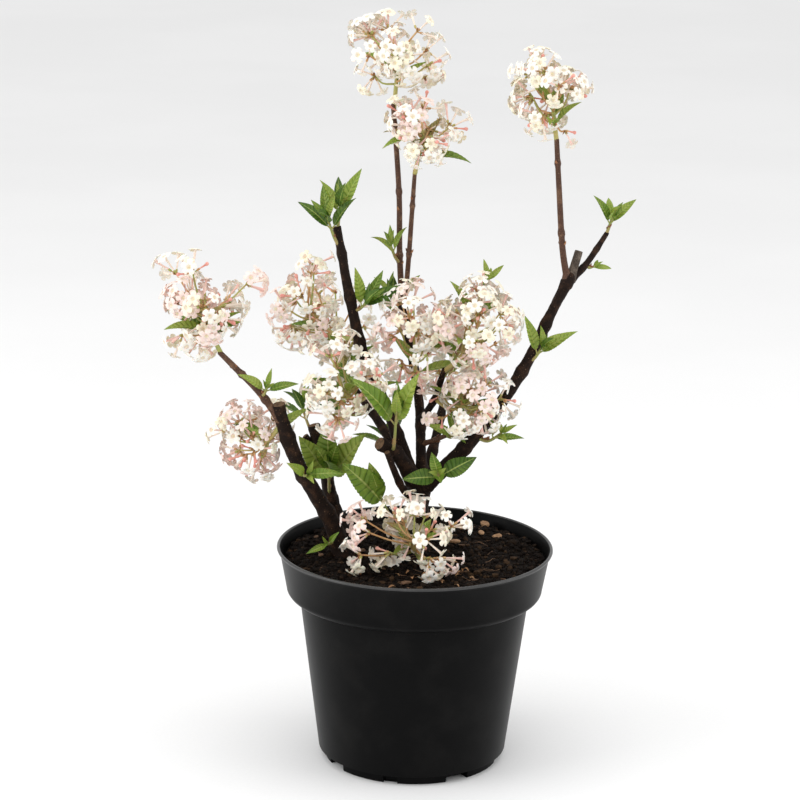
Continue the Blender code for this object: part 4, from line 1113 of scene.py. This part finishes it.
def petal_paint(name, base, fleck, roughness=0.5):
    """A petal's paint: silky, and a little lit through."""
    made = mottled(name, base, fleck, 160.0, 1100.0, 0.45, 0.05, roughness, 0.00012, 0.35)
    shader = made.node_tree.nodes["Principled BSDF"]
    shader.inputs["Subsurface Weight"].default_value = PETAL_GLOW
    shader.inputs["Subsurface Radius"].default_value = PETAL_GLOW_COLOURS
    shader.inputs["Subsurface Scale"].default_value = PETAL_GLOW_DEPTH
    return made


petal_paints = [
    petal_paint("petal_white", (0.84, 0.80, 0.71), (0.88, 0.85, 0.79)),
    petal_paint("petal_cream", (0.84, 0.78, 0.60), (0.87, 0.82, 0.69)),
    petal_paint("petal_blush", (0.84, 0.66, 0.60), (0.87, 0.77, 0.71)),
    petal_paint("tube_pale", (0.82, 0.69, 0.59), (0.85, 0.77, 0.67)),
    petal_paint("tube_rose", (0.80, 0.51, 0.45), (0.83, 0.63, 0.56)),
    petal_paint("throat_cream", (0.84, 0.75, 0.56), (0.87, 0.79, 0.63)),
    petal_paint("bud_pink", (0.72, 0.30, 0.25), (0.78, 0.44, 0.36)),
]
for group, (bundle, names) in flower_groups.items():
    flowers = bundle.piece(group, petal_paints)
    on_the_plant(flowers, "blossom", *names)


def living_paint(name, base, fleck, roughness, share=0.45, relief=0.0002):
    """A leaf's or stalk's paint: finely mottled, and a little lit through."""
    made = mottled(name, base, fleck, 90.0, 900.0, share, 0.10, roughness, relief, 0.4)
    shader = made.node_tree.nodes["Principled BSDF"]
    shader.inputs["Subsurface Weight"].default_value = LEAF_GLOW
    shader.inputs["Subsurface Scale"].default_value = LEAF_GLOW_DEPTH
    return made


stalk_paints = [
    living_paint("stalk_green", (0.36, 0.38, 0.11), (0.46, 0.38, 0.14), 0.5),
    living_paint("stalk_rust", (0.50, 0.28, 0.12), (0.58, 0.38, 0.18), 0.5),
    living_paint("stalk_olive", (0.46, 0.36, 0.13), (0.38, 0.36, 0.11), 0.5),
    living_paint("bract_brown", (0.28, 0.115, 0.045), (0.42, 0.22, 0.09), 0.6),
]
flower_stalks = stalks.piece("flower_stalks", stalk_paints)
on_the_plant(flower_stalks, "blossom", *[blossom[0] for blossom in BLOSSOMS])
leaf_paints = [
    living_paint("leaf_light", (0.235, 0.320, 0.040), (0.310, 0.375, 0.070), 0.48),
    living_paint("leaf_green", (0.125, 0.215, 0.017), (0.195, 0.275, 0.034), 0.48),
    living_paint("leaf_deep", (0.060, 0.128, 0.010), (0.105, 0.180, 0.018), 0.45),
    living_paint("leaf_bronze", (0.26, 0.23, 0.060), (0.31, 0.185, 0.070), 0.42),
    living_paint("midrib_pale", (0.30, 0.37, 0.080), (0.36, 0.41, 0.11), 0.48),
    # These four are darker copies of the leaf paints above: painted shade for the furrows between the veins.
    living_paint("leaf_light_furrow_shade", (0.150, 0.225, 0.022), (0.200, 0.260, 0.040), 0.55),
    living_paint("leaf_green_furrow_shade", (0.072, 0.140, 0.009), (0.115, 0.180, 0.018), 0.55),
    living_paint("leaf_deep_furrow_shade", (0.034, 0.082, 0.006), (0.062, 0.115, 0.010), 0.50),
    living_paint("leaf_bronze_furrow_shade", (0.165, 0.140, 0.034), (0.195, 0.115, 0.042), 0.50),
]
leaf_piece = leaves.piece("leaf_blades", leaf_paints)
on_the_plant(leaf_piece, "foliage", *spray_nodes)
shoot_paints = [
    living_paint("shoot_green", (0.24, 0.27, 0.070), (0.33, 0.24, 0.095), 0.5),
    living_paint("leaf_stalk", (0.30, 0.33, 0.09), (0.38, 0.26, 0.11), 0.5),
    living_paint("bud_scale", (0.20, 0.070, 0.028), (0.34, 0.16, 0.070), 0.6),
]
shoot_piece = leaf_shoots.piece("leaf_shoots_and_scales", shoot_paints)
on_the_plant(shoot_piece, "foliage", *spray_nodes)

# The studio: a plain pale floor that runs back out of sight, two large soft boxes beside the plant, one above
# it, and a soft fill from the front.
FLOOR_REACH, WORLD_LIGHT = 30.0, 0.92
LIGHTS_AIM = Vector((0.0, 0.0, 0.26))
floor_mesh = bpy.data.meshes.new("studio_floor")
floor_corners = [(FLOOR_REACH * x, FLOOR_REACH * y, 0.0) for x, y in ((-1, -1), (1, -1), (1, 1), (-1, 1))]
floor_mesh.from_pydata(floor_corners, [], [(0, 1, 2, 3)])
floor = bpy.data.objects.new("studio_floor", floor_mesh)
bpy.context.scene.collection.objects.link(floor)
floor_mesh.materials.append(
    mottled("studio_paper", (0.86, 0.86, 0.86), (0.88, 0.88, 0.88), 2.0, 400.0, 0.5, 0.01, 0.9, 0.00002,
        0.2)
)
bpy.context.scene.view_settings.view_transform = "Standard"
world = bpy.data.worlds.new("studio")
bpy.context.scene.world = world
world.use_nodes = True
world.node_tree.nodes["Background"].inputs["Color"].default_value = (1.0, 1.0, 1.0, 1.0)
world.node_tree.nodes["Background"].inputs["Strength"].default_value = WORLD_LIGHT
SOFT_BOXES = (
    ("left_box", (-1.5, -0.5, 0.9), 1.2, 11.0),
    ("right_box", (1.5, -0.3, 0.9), 1.2, 7.0),
    ("top_box", (0.0, -0.2, 1.9), 1.6, 7.0),
    ("front_fill", (-0.4, -2.2, 1.5), 1.4, 6.0),
)
for name, place, size, power in SOFT_BOXES:
    light = bpy.data.objects.new(name, bpy.data.lights.new(name, "AREA"))
    light.data.shape = "SQUARE"
    light.data.size = size
    light.data.energy = power
    light.location = place
    aim = LIGHTS_AIM - Vector(place)
    light.rotation_euler = aim.to_track_quat("-Z", "Y").to_euler()
    bpy.context.scene.collection.objects.link(light)
